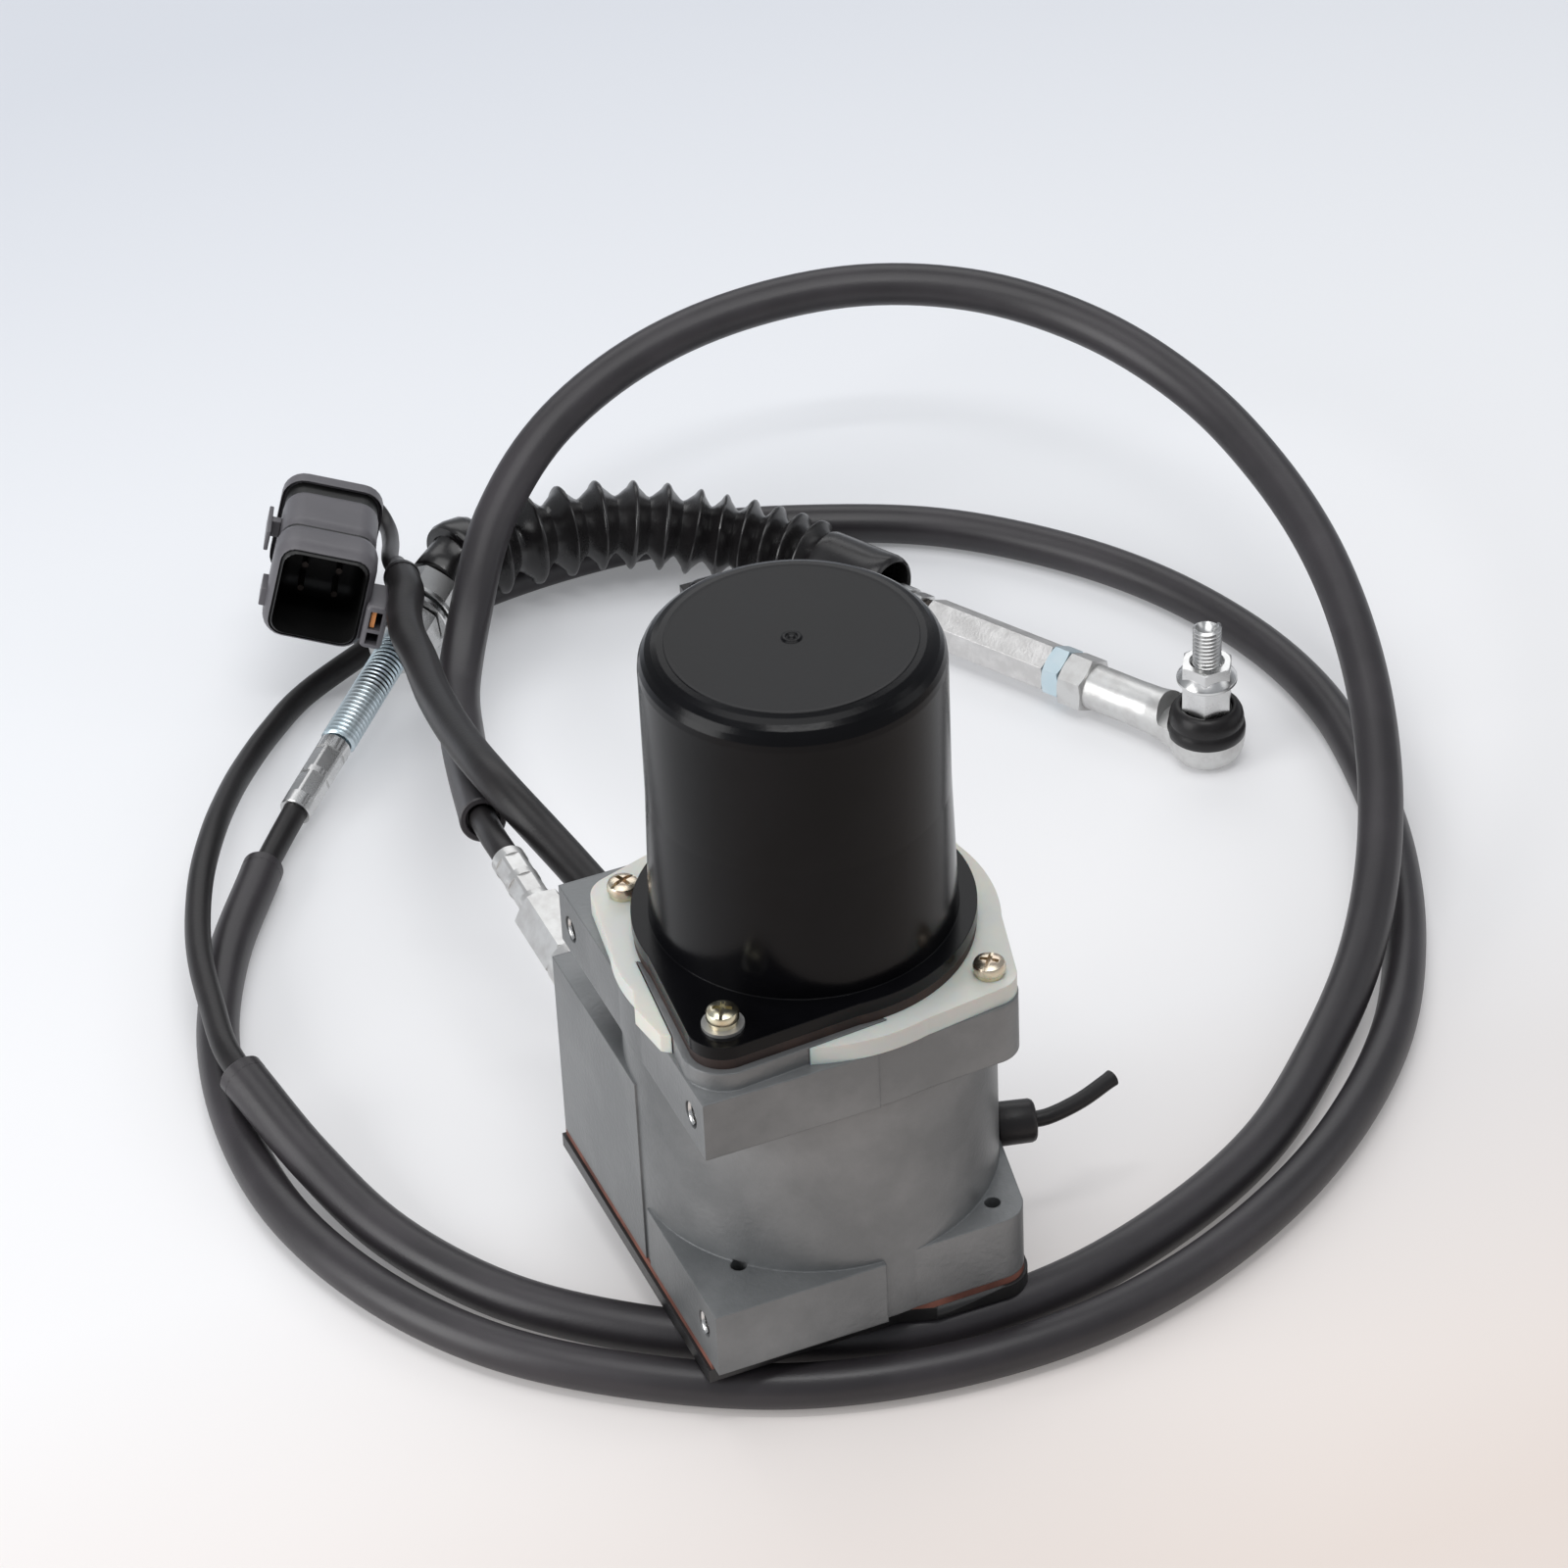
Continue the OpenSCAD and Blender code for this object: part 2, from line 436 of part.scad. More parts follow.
// ---- reduction gear
module intermediate_gear() color([0.80, 0.80, 0.76]) translate(concat(mid_c, 0)) difference() {
    union() {
        translate([0, 0, 74]) rotate([0, 0, th_1 + 180 + 180 / teeth_1]) gear(m_1, teeth_1, 7);
        translate([0, 0, 49]) rotate([0, 0, th_2]) gear(m_2, teeth_p, 10, 1);
        translate([0, 0, ledge_z + 4.2]) cylinder(r = 5, h = 37);
    }
    translate([0, 0, 40]) cylinder(r = pin_r + fit, h = 60);
}
module gear_pin() color([0.80, 0.81, 0.83]) translate(concat(mid_c, ledge_z))
    cylinder(r = pin_r, h = deck_z + 8 - ledge_z);
module output_gear() color([0.78, 0.70, 0.45]) translate(concat(out_c, 0)) difference() {
    union() {
        translate([0, 0, 50]) rotate([0, 0, th_2 + 180 + 180 / teeth_2]) gear(m_2, teeth_2, 8);
        translate([0, 0, 61.5]) rotate([0, 0, 180]) gear(m_3, teeth_3, 9, 0.95);
        translate([0, 0, 45]) cylinder(r = 8, h = 17);
    }
    translate([0, 0, 40]) cylinder(r = shaft_r, h = 60);
}
module output_shaft() color([0.82, 0.83, 0.85]) translate(concat(out_c, 0)) {
    translate([0, 0, 31]) cylinder(r = shaft_r, h = 66.5);
    translate([0, 0, 33]) cylinder(r = 9, h = 1.5);
    translate([3, -1.5, 33.5]) cube([7, 3, 2.5]);
}
module shaft_bushes() color([0.70, 0.52, 0.25]) translate(concat(out_c, 0)) {
    translate([0, 0, ledge_z]) ring(5.5, shaft_r + fit, 4);
    translate([0, 0, deck_z]) ring(5.5, shaft_r + fit, 8);
}
module carrier_plate() color([0.70, 0.71, 0.72]) difference() {
    translate([0, 0, ledge_z]) linear_extrude(4) difference() {
        union() {
            circle(r = core_r - 0.3, $fn = 96);
            translate([in_x + 0.3, 3]) square([4.7 - in_x - 0.3, in_y - 3.3]);
        }
        translate([8, -24]) circle(r = 12);
        translate([-20, -22]) circle(r = 8);
    }
    translate(concat(mid_c, ledge_z - 1)) cylinder(r = pin_r, h = 8);
    translate(concat(out_c, ledge_z - 1)) cylinder(r = 5.5, h = 8);
    for (p = carrier_pts) translate([p[0], p[1], ledge_z - 1]) cylinder(r = 1.7, h = 8);
}
module carrier_screws() color([0.78, 0.78, 0.76]) for (p = carrier_pts)
    cross_screw(p, ledge_z + 4, 2.2, 12, 2.8);
module sensor_case() color([0.12, 0.13, 0.15]) translate(concat(out_c, 28)) difference() {
    union() {
        cylinder(r = 13, h = 12);
        translate([8, -5, 1]) cube([11, 10, 9]);
    }
    translate([0, 0, 2]) cylinder(r = 11, h = 11);
    translate([12, -3.5, 2.5]) cube([8, 7, 6]);
}
rack_p = PI * m_3;
function rack_tooth(y) = let (h = rack_p / 4 - 0.06, t = tan(20), a = 0.95 * m_3, d = 1.2 * m_3)
    [[rack_x - d, y - h - d * t], [rack_x + a, y - h + a * t], [rack_x + a, y + h - a * t], [rack_x - d, y + h + d * t]];
module rack() color([0.62, 0.63, 0.65]) translate([0, 0, 62]) difference() {
    linear_extrude(8) {
        translate([face_x + 3.4, 5]) square([6.4 - 1.15 * m_3, 36]);
        translate([face_x + 3.4, 36]) square([6.6, 5]);
        for (k = [-3:2]) polygon(rack_tooth(20 + (k + 0.5) * rack_p));
    }
    translate([rod_x, 37, 4]) rotate([-90, 0, 0]) cylinder(r = 2.5, h = 5);
}
module core_rod() color([0.82, 0.83, 0.85]) translate([rod_x, 37, rod_z]) rotate([-90, 0, 0])
    cylinder(r = 2.5, h = 57);

// ---- vent, cable outlet and wiring
module vent_grommet() color([0.09, 0.09, 0.10]) rotate([0, 0, -14.8]) translate([0, 0, 37.5]) rotate([0, 90, 0]) {
    translate([0, 0, body_r + 0.02]) cylinder(r = 5.5, h = 9.5);
    translate([0, 0, body_r - 3.2]) cylinder(r = 3, h = 4);
}
module vent_tube() color([0.08, 0.08, 0.09]) hose(way_v, 2.1, 8);
module cable_gland() color([0.10, 0.10, 0.11]) translate([-20, 50, 60]) rotate([-90, 0, 0]) {
    cylinder(r = 6, h = 5);
    translate([0, 0, 4.6]) cylinder(r = 9, h = 3);
    translate([0, 0, 7]) cylinder(r = 7.8, h = 15);
}
module electric_cable() color([0.10, 0.10, 0.11]) hose(way_e, wire_d / 2);
module lead_bundle() color([0.14, 0.14, 0.15]) hose(way_l, 2.5, 8);
module in_plug() translate(plug_at) rotate(plug_turn) rotate([-90, 0, 0]) children();
module connector_shell() color([0.46, 0.45, 0.48]) in_plug() {
    difference() {
        union() {
            linear_extrude(38) rounded(con_w, con_h, 6);
            translate([0, 0, 37.5]) linear_extrude(1.2) rounded(con_w - 2, con_h - 2, 5.5);
            translate([0, 0, 38.5]) linear_extrude(con_l - 38.5) rounded(con_w * 0.97, con_h * 0.97, 6);
        }
        translate([0, 0, -1]) linear_extrude(31) rounded(con_w - 3.6, con_h - 3.6, 4.6);
    }
    // latch housing on one flank, clip tabs on the other
    difference() {
        translate([con_w / 2 - 0.6, -1.5, 0]) cube([5.6, 13.5, 14]);
        translate([con_w / 2 + 0.4, 0, -1]) cube([3, 5.5, 12]);
        translate([con_w / 2 + 0.4, 7, -1]) cube([3, 3.6, 12]);
    }
    translate([-con_w / 2 - 2.4, -9, 14]) cube([1, 5, 13]);
    translate([-con_w / 2 - 2.4, -9, 20]) cube([3, 5, 2]);
    translate([-con_w / 2 - 1.4, 2, 6]) cube([2, 5, 8]);
}
module connector_wedge() color([0.82, 0.42, 0.16]) in_plug()
    translate([con_w / 2 + 0.4, 0, 1]) cube([2, 5.5, 10]);
module contact_pins() color([0.75, 0.72, 0.60]) in_plug() for (x = [-4.8, 4.8], y = [-7.5, 0, 7.5])
    translate([x, y, 12]) cylinder(r = 0.9, h = 18, $fn = 16);
module rear_seal() color([0.14, 0.12, 0.12]) in_plug() translate([0, 0, con_l]) linear_extrude(4)
    rounded(20, 20, 6);

// ---- control cable
module cable_fitting() color([0.80, 0.81, 0.83]) translate([rod_x, in_y, rod_z]) rotate([-90, 0, 0]) difference() {
    union() {
        cylinder(r = 4.7, h = 4);
        translate([0, 0, box_y - in_y]) cylinder(r = 7.2, h = 5.4);
        translate([0, 0, 8]) rotate([0, 0, 30]) cylinder(r = 13 / sqrt(3), h = 22.4, $fn = 6);
        translate([0, 0, 30]) cylinder(r = 4.4, h = 106 - in_y - 30);
    }
    translate([0, 0, -1]) cylinder(r = 2.5 + fit, h = 60);
}
module sheath_first() color([0.12, 0.12, 0.13]) hose(way_s1, sheath_d / 2);
module tube_long() color([0.17, 0.16, 0.17]) hose(way_a, tube_a_d / 2);
module sheath_middle() color([0.12, 0.12, 0.13]) hose(way_s2, sheath_d / 2);
module tube_lower() color([0.17, 0.16, 0.17]) hose(way_b, tube_b_d / 2);
module sheath_end() color([0.12, 0.12, 0.13]) hose(way_s3, sheath_d / 2);
module in_conduit(s) translate(con_at) rotate(con_turn) translate([0, 0, s]) children();
module swage_sleeve() color([0.82, 0.83, 0.85]) in_conduit(0) cylinder(r = 4.6, h = 27);
module threaded_conduit() color([0.66, 0.72, 0.78]) in_conduit(27) difference() {
    union() {
        cylinder(r = 4.6, h = 73);
        for (k = [0:23]) translate([0, 0, 2 + 3 * k]) cylinder(r = 5, h = 1.5, $fn = 32);
    }
    translate([0, 0, 50]) cylinder(r = 2.2, h = 30);
}
module hex_nut(af, h, r) difference() {
    intersection() {
        cylinder(r = af / sqrt(3), h = h, $fn = 6);
        cylinder(r = af / sqrt(3) * 0.975, h = h, $fn = 48);
    }
    translate([0, 0, -1]) cylinder(r = r, h = h + 2);
}
module conduit_nuts() color([0.78, 0.80, 0.82]) {
    in_conduit(66) hex_nut(nut_af, 12, 5);
    in_conduit(83) hex_nut(nut_af, 9, 5);
}
module conduit_washers() color([0.84, 0.85, 0.86]) {
    in_conduit(78) ring(11, 5, 2);
    in_conduit(81) ring(11, 5, 2);
}
folds = 14;
function fold_r(i) = let (t = i / (4 * folds), q = i % 4) i < 3 ? 8.6 : i > 4 * folds - 7 ? 9.2 :
    (q == 1 ? 12.1 - 2.9 * t : q == 3 ? 8.8 - 2.2 * t : 10.6 - 2.6 * t);
module bellows() color([0.07, 0.07, 0.08]) {
    n = 12;
    k = 4 * folds;
    p = [for (i = [0:k]) along(way_bel, i / k)];
    polyhedron(
        concat([for (i = [0:k]) for (j = [0:n - 1]) ring_pt(p, i, fold_r(i), j * 360 / n)],
            [for (i = [0:k]) for (j = [0:n - 1]) ring_pt(p, i, i < 2 ? 5.2 : fold_r(i) - 1.2, j * 360 / n)]),
        concat(
            [for (i = [0:k - 1]) for (j = [0:n - 1]) let (a = i * n + j, b = i * n + (j + 1) % n) [a, a + n, b]],
            [for (i = [0:k - 1]) for (j = [0:n - 1]) let (a = i * n + j, b = i * n + (j + 1) % n) [a + n, b + n, b]],
            [for (i = [0:k - 1]) for (j = [0:n - 1]) let (o = (k + 1) * n, a = o + i * n + j, b = o + i * n + (j + 1) % n) [b, a + n, a]],
            [for (i = [0:k - 1]) for (j = [0:n - 1]) let (o = (k + 1) * n, a = o + i * n + j, b = o + i * n + (j + 1) % n) [b, b + n, a + n]],
            [for (j = [0:n - 1]) let (o = (k + 1) * n, j2 = (j + 1) % n) [j, j2, o + j2, o + j]],
            [for (j = [0:n - 1]) let (o = (k + 1) * n, e = k * n, j2 = (j + 1) % n) [e + j2, e + j, o + e + j, o + e + j2]]));
}
module core_wire() color([0.70, 0.71, 0.73]) hose(way_core, 1.5, 8);

// ---- rod end; distances run from the eye back towards the cable
module on_rod(d) translate(eye_at) rotate(rod_turn) translate([0, 0, d]) children();
module end_rod() color([0.72, 0.73, 0.74]) on_rod(0) difference() {
    union() {
        translate([0, 0, 84]) cylinder(r = 3, h = 40);
        translate([0, 0, 101.2]) cylinder(r = 6.9, h = 5);
    }
    translate([0, 0, 92]) cylinder(r = 1.5 + 0.08, h = 40);
}
module turnbuckle() color([0.84, 0.85, 0.86]) on_rod(51) difference() {
    cylinder(r = turn_af / sqrt(3), h = 46, $fn = 6);
    translate([0, 0, -1]) cylinder(r = 4, h = 21);
    translate([0, 0, 33]) cylinder(r = 3, h = 20);
}
module jam_nuts() color([0.76, 0.77, 0.78]) {
    on_rod(45.5) hex_nut(13, 5.5, 4);
    on_rod(97) hex_nut(10, 4, 3);
}
module rod_end() color([0.80, 0.81, 0.82]) difference() {
    union() {
        translate(eye_at) translate([0, 0, -6]) rotate_extrude() polygon([[0, 0], [8.3, 0], [eye_r, 2.5],
            [eye_r, 8.5], [8.8, 10.5], [0, 10.5]]);
        on_rod(7) cylinder(r = 5.2, h = 31);
        on_rod(37.5) cylinder(r = 12 / sqrt(3), h = 8, $fn = 6);
        on_rod(45) cylinder(r = 4, h = 24);
    }
    translate(eye_at) sphere(d = ball_d + 2 * fit, $fn = 48);
    translate(eye_at) cylinder(r = 4.6, h = 20);
    translate(eye_at) translate([0, 0, 4.5]) cylinder(r = 10.5, h = 5);
}
module stud_boot() color([0.10, 0.10, 0.11]) translate(eye_at) translate([0, 0, 4.5]) rotate_extrude()
    polygon([[5.5, 0], [8.8, 0], [10.2, 1], [10.2, 2.2], [7, 3.6], [6, 3.6], [5.5, 3]]);
module ball_stud() color([0.78, 0.79, 0.80]) translate(eye_at) {
    sphere(d = ball_d, $fn = 48);
    translate([0, 0, 3]) cylinder(r = 3.6, h = 8);
    translate([0, 0, 8.5]) cylinder(r = 13 / sqrt(3), h = 5, $fn = 6);
    translate([0, 0, 13]) cylinder(r = 3.6, h = 11.1);
    translate([0, 0, 24.1]) cylinder(r = 4, h = 9.4);
}
module stud_nut() color([0.76, 0.77, 0.78]) translate(eye_at) translate([0, 0, 13.5]) {
    ring(8.8, 3.6, 1.8);
    translate([0, 0, 1.5]) hex_nut(13, 9, 3.6);
}

housing();
base_gasket();
base_cover();
base_screws();
adapter_plate();
cover_gasket();
motor_cover();
cover_screws();
spring_washers();
flat_washers();
plate_screws();
motor_can();
magnets();
end_bell();
brush_plate();
brushes();
bearings();
carrier_plate();
carrier_screws();
sensor_case();
shaft_bushes();
gear_pin();
vent_grommet();
vent_tube();
cable_gland();
electric_cable();
lead_bundle();
connector_shell();
connector_wedge();
contact_pins();
rear_seal();
cable_fitting();
sheath_first();
tube_long();
sheath_middle();
tube_lower();
sheath_end();
swage_sleeve();
threaded_conduit();
conduit_nuts();
conduit_washers();
bellows();
core_wire();
armature_core();
windings();
commutator();
motor_shaft();
motor_pinion();
intermediate_gear();
output_gear();
output_shaft();
rack();
core_rod();
end_rod();
jam_nuts();
turnbuckle();
rod_end();
stud_boot();
ball_stud();
stud_nut();
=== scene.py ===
# %% [markdown]
# # A throttle motor on a pale floor
# The object is an electric throttle actuator: a die-cast gear housing with a glossy
# black motor cover, a long push-pull cable in protective tubes, a rubber bellows, a
# ball-stud rod end and a wiring connector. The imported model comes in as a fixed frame.
# Its solids carry the sizes, and the pieces made here give them the edges, threads,
# folds and finishes that a camera would see.

# %% Load the frame
import math
import bpy
from mathutils import Euler, Matrix, Vector


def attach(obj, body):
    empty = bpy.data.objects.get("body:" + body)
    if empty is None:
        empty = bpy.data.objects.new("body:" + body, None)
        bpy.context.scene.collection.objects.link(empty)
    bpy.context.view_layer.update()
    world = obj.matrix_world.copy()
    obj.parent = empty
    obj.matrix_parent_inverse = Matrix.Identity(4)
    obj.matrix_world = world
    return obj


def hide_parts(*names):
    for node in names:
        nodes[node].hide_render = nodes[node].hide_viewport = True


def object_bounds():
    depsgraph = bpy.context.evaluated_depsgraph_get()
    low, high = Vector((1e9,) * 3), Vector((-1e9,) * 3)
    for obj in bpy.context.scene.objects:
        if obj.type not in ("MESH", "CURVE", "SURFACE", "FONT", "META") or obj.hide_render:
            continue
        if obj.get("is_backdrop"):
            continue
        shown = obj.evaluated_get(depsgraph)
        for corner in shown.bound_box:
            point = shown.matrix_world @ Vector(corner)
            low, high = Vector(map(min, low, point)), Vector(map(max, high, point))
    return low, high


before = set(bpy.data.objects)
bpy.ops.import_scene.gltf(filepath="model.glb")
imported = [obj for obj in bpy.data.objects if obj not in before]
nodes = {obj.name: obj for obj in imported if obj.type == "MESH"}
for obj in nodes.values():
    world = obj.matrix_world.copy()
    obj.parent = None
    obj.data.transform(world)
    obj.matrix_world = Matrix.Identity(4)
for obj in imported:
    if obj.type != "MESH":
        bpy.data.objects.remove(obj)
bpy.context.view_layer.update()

MM = 0.001
TURN = 2 * math.pi

# %% [markdown]
# ## The camera
# The photograph was taken from the front left and above with a long lens. The place and
# the three directions below were worked out from the round parts and the straight edges
# that show in it.

# %% Camera
CAMERA_AT = Vector((-0.3956, -1.0014, 0.9577))
RIGHT = Vector((0.91961, -0.39095, -0.03837))
UP = Vector((0.26331, 0.54095, 0.79880))
BACK = Vector((-0.2915, -0.7447, 0.6004))
LENS, FILM = 132.0, 36.0


def add_camera():
    data = bpy.data.cameras.new("camera")
    data.lens, data.sensor_width = LENS, FILM
    data.clip_start, data.clip_end = 0.05, 20.0
    cam = bpy.data.objects.new("camera", data)
    turn = Matrix((RIGHT, UP, BACK)).transposed().to_4x4()
    cam.matrix_world = Matrix.Translation(CAMERA_AT) @ turn
    bpy.context.scene.collection.objects.link(cam)
    bpy.context.scene.camera = cam
    return cam


camera = add_camera()
bpy.context.scene.view_settings.view_transform = "Standard"
print("camera at", [round(v, 3) for v in camera.location])

# %% [markdown]
# ## Helpers for making pieces
# An operator works on whatever is selected, so each helper first lets go of everything.
# A finished piece keeps its place in its mesh, with the object itself at the origin. A
# piece with flat sides also gets weighted normals, so that its wide faces shade flat
# beside their narrow bevels.

# %% Selection and finishing helpers
FLAT_SIDED = 30


def alone(obj):
    """Select this one object and nothing else."""
    if bpy.context.object and bpy.context.object.mode != "OBJECT":
        bpy.ops.object.mode_set(mode="OBJECT")
    bpy.ops.object.select_all(action="DESELECT")
    obj.select_set(True)
    bpy.context.view_layer.objects.active = obj


def settle(obj, name, body, material, smooth=35):
    """Bake the object's place into its mesh, name it, and let it ride on a body."""
    alone(obj)
    bpy.ops.object.transform_apply(location=True, rotation=True, scale=True)
    obj.name = obj.data.name = name
    bpy.ops.object.shade_smooth_by_angle(angle=math.radians(smooth))
    if smooth <= FLAT_SIDED:
        m = obj.modifiers.new("flat sides", "WEIGHTED_NORMAL")
        m.keep_sharp = True
        bpy.ops.object.modifier_apply(modifier=m.name)
    obj.data.materials.clear()
    obj.data.materials.append(material)
    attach(obj, body)
    return obj


def paint(material, *names):
    """Give CAD parts, which stay as they are, a finish."""
    for n in names:
        mats = nodes[n].data.materials
        mats.clear()
        mats.append(material)


def bake(obj, modifier):
    """Apply one modifier for good."""
    alone(obj)
    bpy.ops.object.modifier_apply(modifier=modifier.name)
    return obj


print("helpers: alone, settle, paint, bake")

# %% [markdown]
# ## Where the parts sit
# Each run of parts has its own straight axis: the threaded conduit climbs from the floor,
# the rod lies flat and points back from its eye, and the connector leans on the cables.
# A frame is a place in millimetres and a turn about X, Y and Z, just as in the model, so
# every piece can be drawn upright at the origin and then dropped into its frame.

# %% Frames of the runs
def frame_of(place, turn=(0, 0, 0)):
    spin = Euler([math.radians(a) for a in turn]).to_matrix().to_4x4()
    return Matrix.Translation(Vector(place) * MM) @ spin


EYE_AT = (180.3, 147.1, 9.5)
CONDUIT = frame_of((-60.3, 224.9, 7), (0, 80.6, 44.3))
EYE = frame_of(EYE_AT)
ROD = frame_of(EYE_AT, (0, -90, -59.71))
PLUG = frame_of((-35.4, 266.5, 44), (-7.63, 15.43, -23.72)) @ Matrix.Rotation(-TURN / 4, 4, "X")
FITTING = frame_of((-38.5, 51.6, 66), (-90, 0, 0))
VENT = frame_of((0, 0, 37.5), (0, 0, -14.8)) @ Matrix.Rotation(TURN / 4, 4, "Y")
FACE_X, FACE_OUT = -45.8, (0, 90, 0)
print("rod axis", [round(v, 3) for v in ROD.to_3x3().col[2]])

# %% [markdown]
# ## Finishes
# The die-cast parts are dull grey with cloudy stains, the fasteners are zinc plated, and
# the rubber is satin black with a little dust. What several finishes share, a cloudy
# mottle and a fine grain, is one node group with its own values in each material.

# %% Shared mottle group
def add_socket(group, name, value=None, side="INPUT"):
    pin = group.interface.new_socket(name, in_out=side, socket_type="NodeSocketFloat")
    if value is not None:
        pin.default_value = value


def make_mottle():
    group = bpy.data.node_groups.new("mottle", "ShaderNodeTree")
    add_socket(group, "Scale", 40.0)
    add_socket(group, "Fine", 900.0)
    add_socket(group, "Cloud", side="OUTPUT")
    add_socket(group, "Grain", side="OUTPUT")
    tree, wires = group.nodes, group.links
    taken, given = tree.new("NodeGroupInput"), tree.new("NodeGroupOutput")
    place = tree.new("ShaderNodeTexCoord")
    for label, size, detail in (("Cloud", "Scale", 5.0), ("Grain", "Fine", 2.0)):
        noise = tree.new("ShaderNodeTexNoise")
        noise.inputs["Detail"].default_value = detail
        noise.inputs["Roughness"].default_value = 0.6
        wires.new(place.outputs["Object"], noise.inputs["Vector"])
        wires.new(taken.outputs[size], noise.inputs["Scale"])
        wires.new(noise.outputs["Fac"], given.inputs[label])
    return group


mottle = make_mottle()
print("node group:", mottle.name)

# %% [markdown]
# ## One recipe for every finish
# Each finish is a Principled shader that drifts between a colour and its stain, and from
# smoother to rougher, by the same cloud. A Bevel node softens the look of sharp edges
# without new geometry, and a Bump node lays the fine grain over it. The milky nylon also
# lets a little light through.

# %% Material maker
CLOUD_FROM, CLOUD_TO = 0.42, 0.68
ROUGH_SPREAD = 0.08
GRAIN_HEIGHT = 0.0003
GLOW_DEPTH = 0.004


def finish_of(name, color, rough, metal=0.0, stain=None, scale=40.0, fine=900.0, bump=0.0,
              bevel=0.0, specular=0.5, glow=0.0):
    """A Principled material whose colour and roughness drift between two values."""
    m = bpy.data.materials.new(name)
    m.use_nodes = True
    tree, wires = m.node_tree.nodes, m.node_tree.links
    shader = tree["Principled BSDF"]
    shader.inputs["Metallic"].default_value = metal
    shader.inputs["Specular IOR Level"].default_value = specular
    if glow:
        shader.inputs["Subsurface Weight"].default_value = glow
        shader.inputs["Subsurface Scale"].default_value = GLOW_DEPTH
    patch = tree.new("ShaderNodeGroup")
    patch.node_tree = mottle
    patch.inputs["Scale"].default_value, patch.inputs["Fine"].default_value = scale, fine
    mix = tree.new("ShaderNodeMix")
    mix.data_type = "RGBA"
    mix.inputs["A"].default_value = (*color, 1)
    mix.inputs["B"].default_value = (*(stain or color), 1)
    share = tree.new("ShaderNodeMapRange")
    share.inputs["From Min"].default_value, share.inputs["From Max"].default_value = CLOUD_FROM, CLOUD_TO
    wires.new(patch.outputs["Cloud"], share.inputs["Value"])
    wires.new(share.outputs["Result"], mix.inputs["Factor"])
    wires.new(mix.outputs["Result"], shader.inputs["Base Color"])
    gloss = tree.new("ShaderNodeMapRange")
    gloss.inputs["To Min"].default_value = max(rough - ROUGH_SPREAD, 0.02)
    gloss.inputs["To Max"].default_value = min(rough + ROUGH_SPREAD, 1.0)
    wires.new(patch.outputs["Cloud"], gloss.inputs["Value"])
    wires.new(gloss.outputs["Result"], shader.inputs["Roughness"])
    normal = None
    if bevel:
        edge = tree.new("ShaderNodeBevel")
        edge.samples = 4
        edge.inputs["Radius"].default_value = bevel
        normal = edge.outputs["Normal"]
    if bump:
        grain = tree.new("ShaderNodeBump")
        grain.inputs["Strength"].default_value = bump
        grain.inputs["Distance"].default_value = GRAIN_HEIGHT
        wires.new(patch.outputs["Grain"], grain.inputs["Height"])
        if normal:
            wires.new(normal, grain.inputs["Normal"])
        normal = grain.outputs["Normal"]
    if normal:
        wires.new(normal, shader.inputs["Normal"])
    return m


print("finish recipe ready")

# %% [markdown]
# ## The metals
# A finish is a name, a colour, a roughness and how metallic it is, then its stain, the
# size of its clouds and grain, and the depth of the grain. The casting is only half
# metallic, because bare die-cast metal is dull with oxide. The zinc on the fasteners is
# clear, bluish or yellow, as plating is.

# %% Metal finishes
cast = finish_of("die cast", (0.175, 0.182, 0.186), 0.42, 0.5, (0.25, 0.256, 0.26),
                 26, 700, 0.35, bevel=0.0006)
zinc = finish_of("zinc plate", (0.70, 0.70, 0.695), 0.27, 1.0, (0.58, 0.58, 0.575), 90, 1500, 0.06)
soft_zinc = finish_of("dull zinc", (0.66, 0.66, 0.65), 0.38, 0.85, (0.54, 0.53, 0.52), 160, 1800, 0.15)
blue_zinc = finish_of("blue zinc", (0.60, 0.73, 0.79), 0.33, 0.8, (0.68, 0.76, 0.80), 50, 1500, 0.03)
aluminium = finish_of("scuffed aluminium", (0.62, 0.61, 0.60), 0.42, 0.85, (0.74, 0.73, 0.72),
                      220, 1300, 0.3, bevel=0.0003)
yellow_zinc = finish_of("yellow zinc", (0.74, 0.72, 0.56), 0.24, 1.0, (0.66, 0.54, 0.36), 260, 1500, 0.05)
bronze_zinc = finish_of("bronze zinc", (0.64, 0.53, 0.42), 0.26, 1.0, (0.72, 0.68, 0.54), 260, 1500, 0.05)
steel = finish_of("machined steel", (0.46, 0.47, 0.49), 0.3, 1.0, (0.40, 0.41, 0.42), 80, 1500, 0.1)
copper = finish_of("enamelled copper", (0.60, 0.26, 0.10), 0.32, 1.0, (0.50, 0.20, 0.08), 90, 900, 0.2)
dark_iron_and_shade = finish_of("dark iron and painted shade", (0.045, 0.035, 0.03), 0.5, 0.6)
paint(cast, "housing", "end_bell", "carrier_plate")
paint(zinc, "base_screws", "carrier_screws", "end_rod")
paint(soft_zinc, "flat_washers")
paint(yellow_zinc, "spring_washers", "contact_pins")
paint(steel, "motor_can", "bearings", "gear_pin", "armature_core", "motor_shaft", "output_shaft",
      "rack", "core_rod", "core_wire", "intermediate_gear")
paint(copper, "windings", "commutator", "shaft_bushes", "motor_pinion", "output_gear")
paint(dark_iron_and_shade, "magnets", "brushes")
print("metals:", len(bpy.data.materials), "finishes in the file")
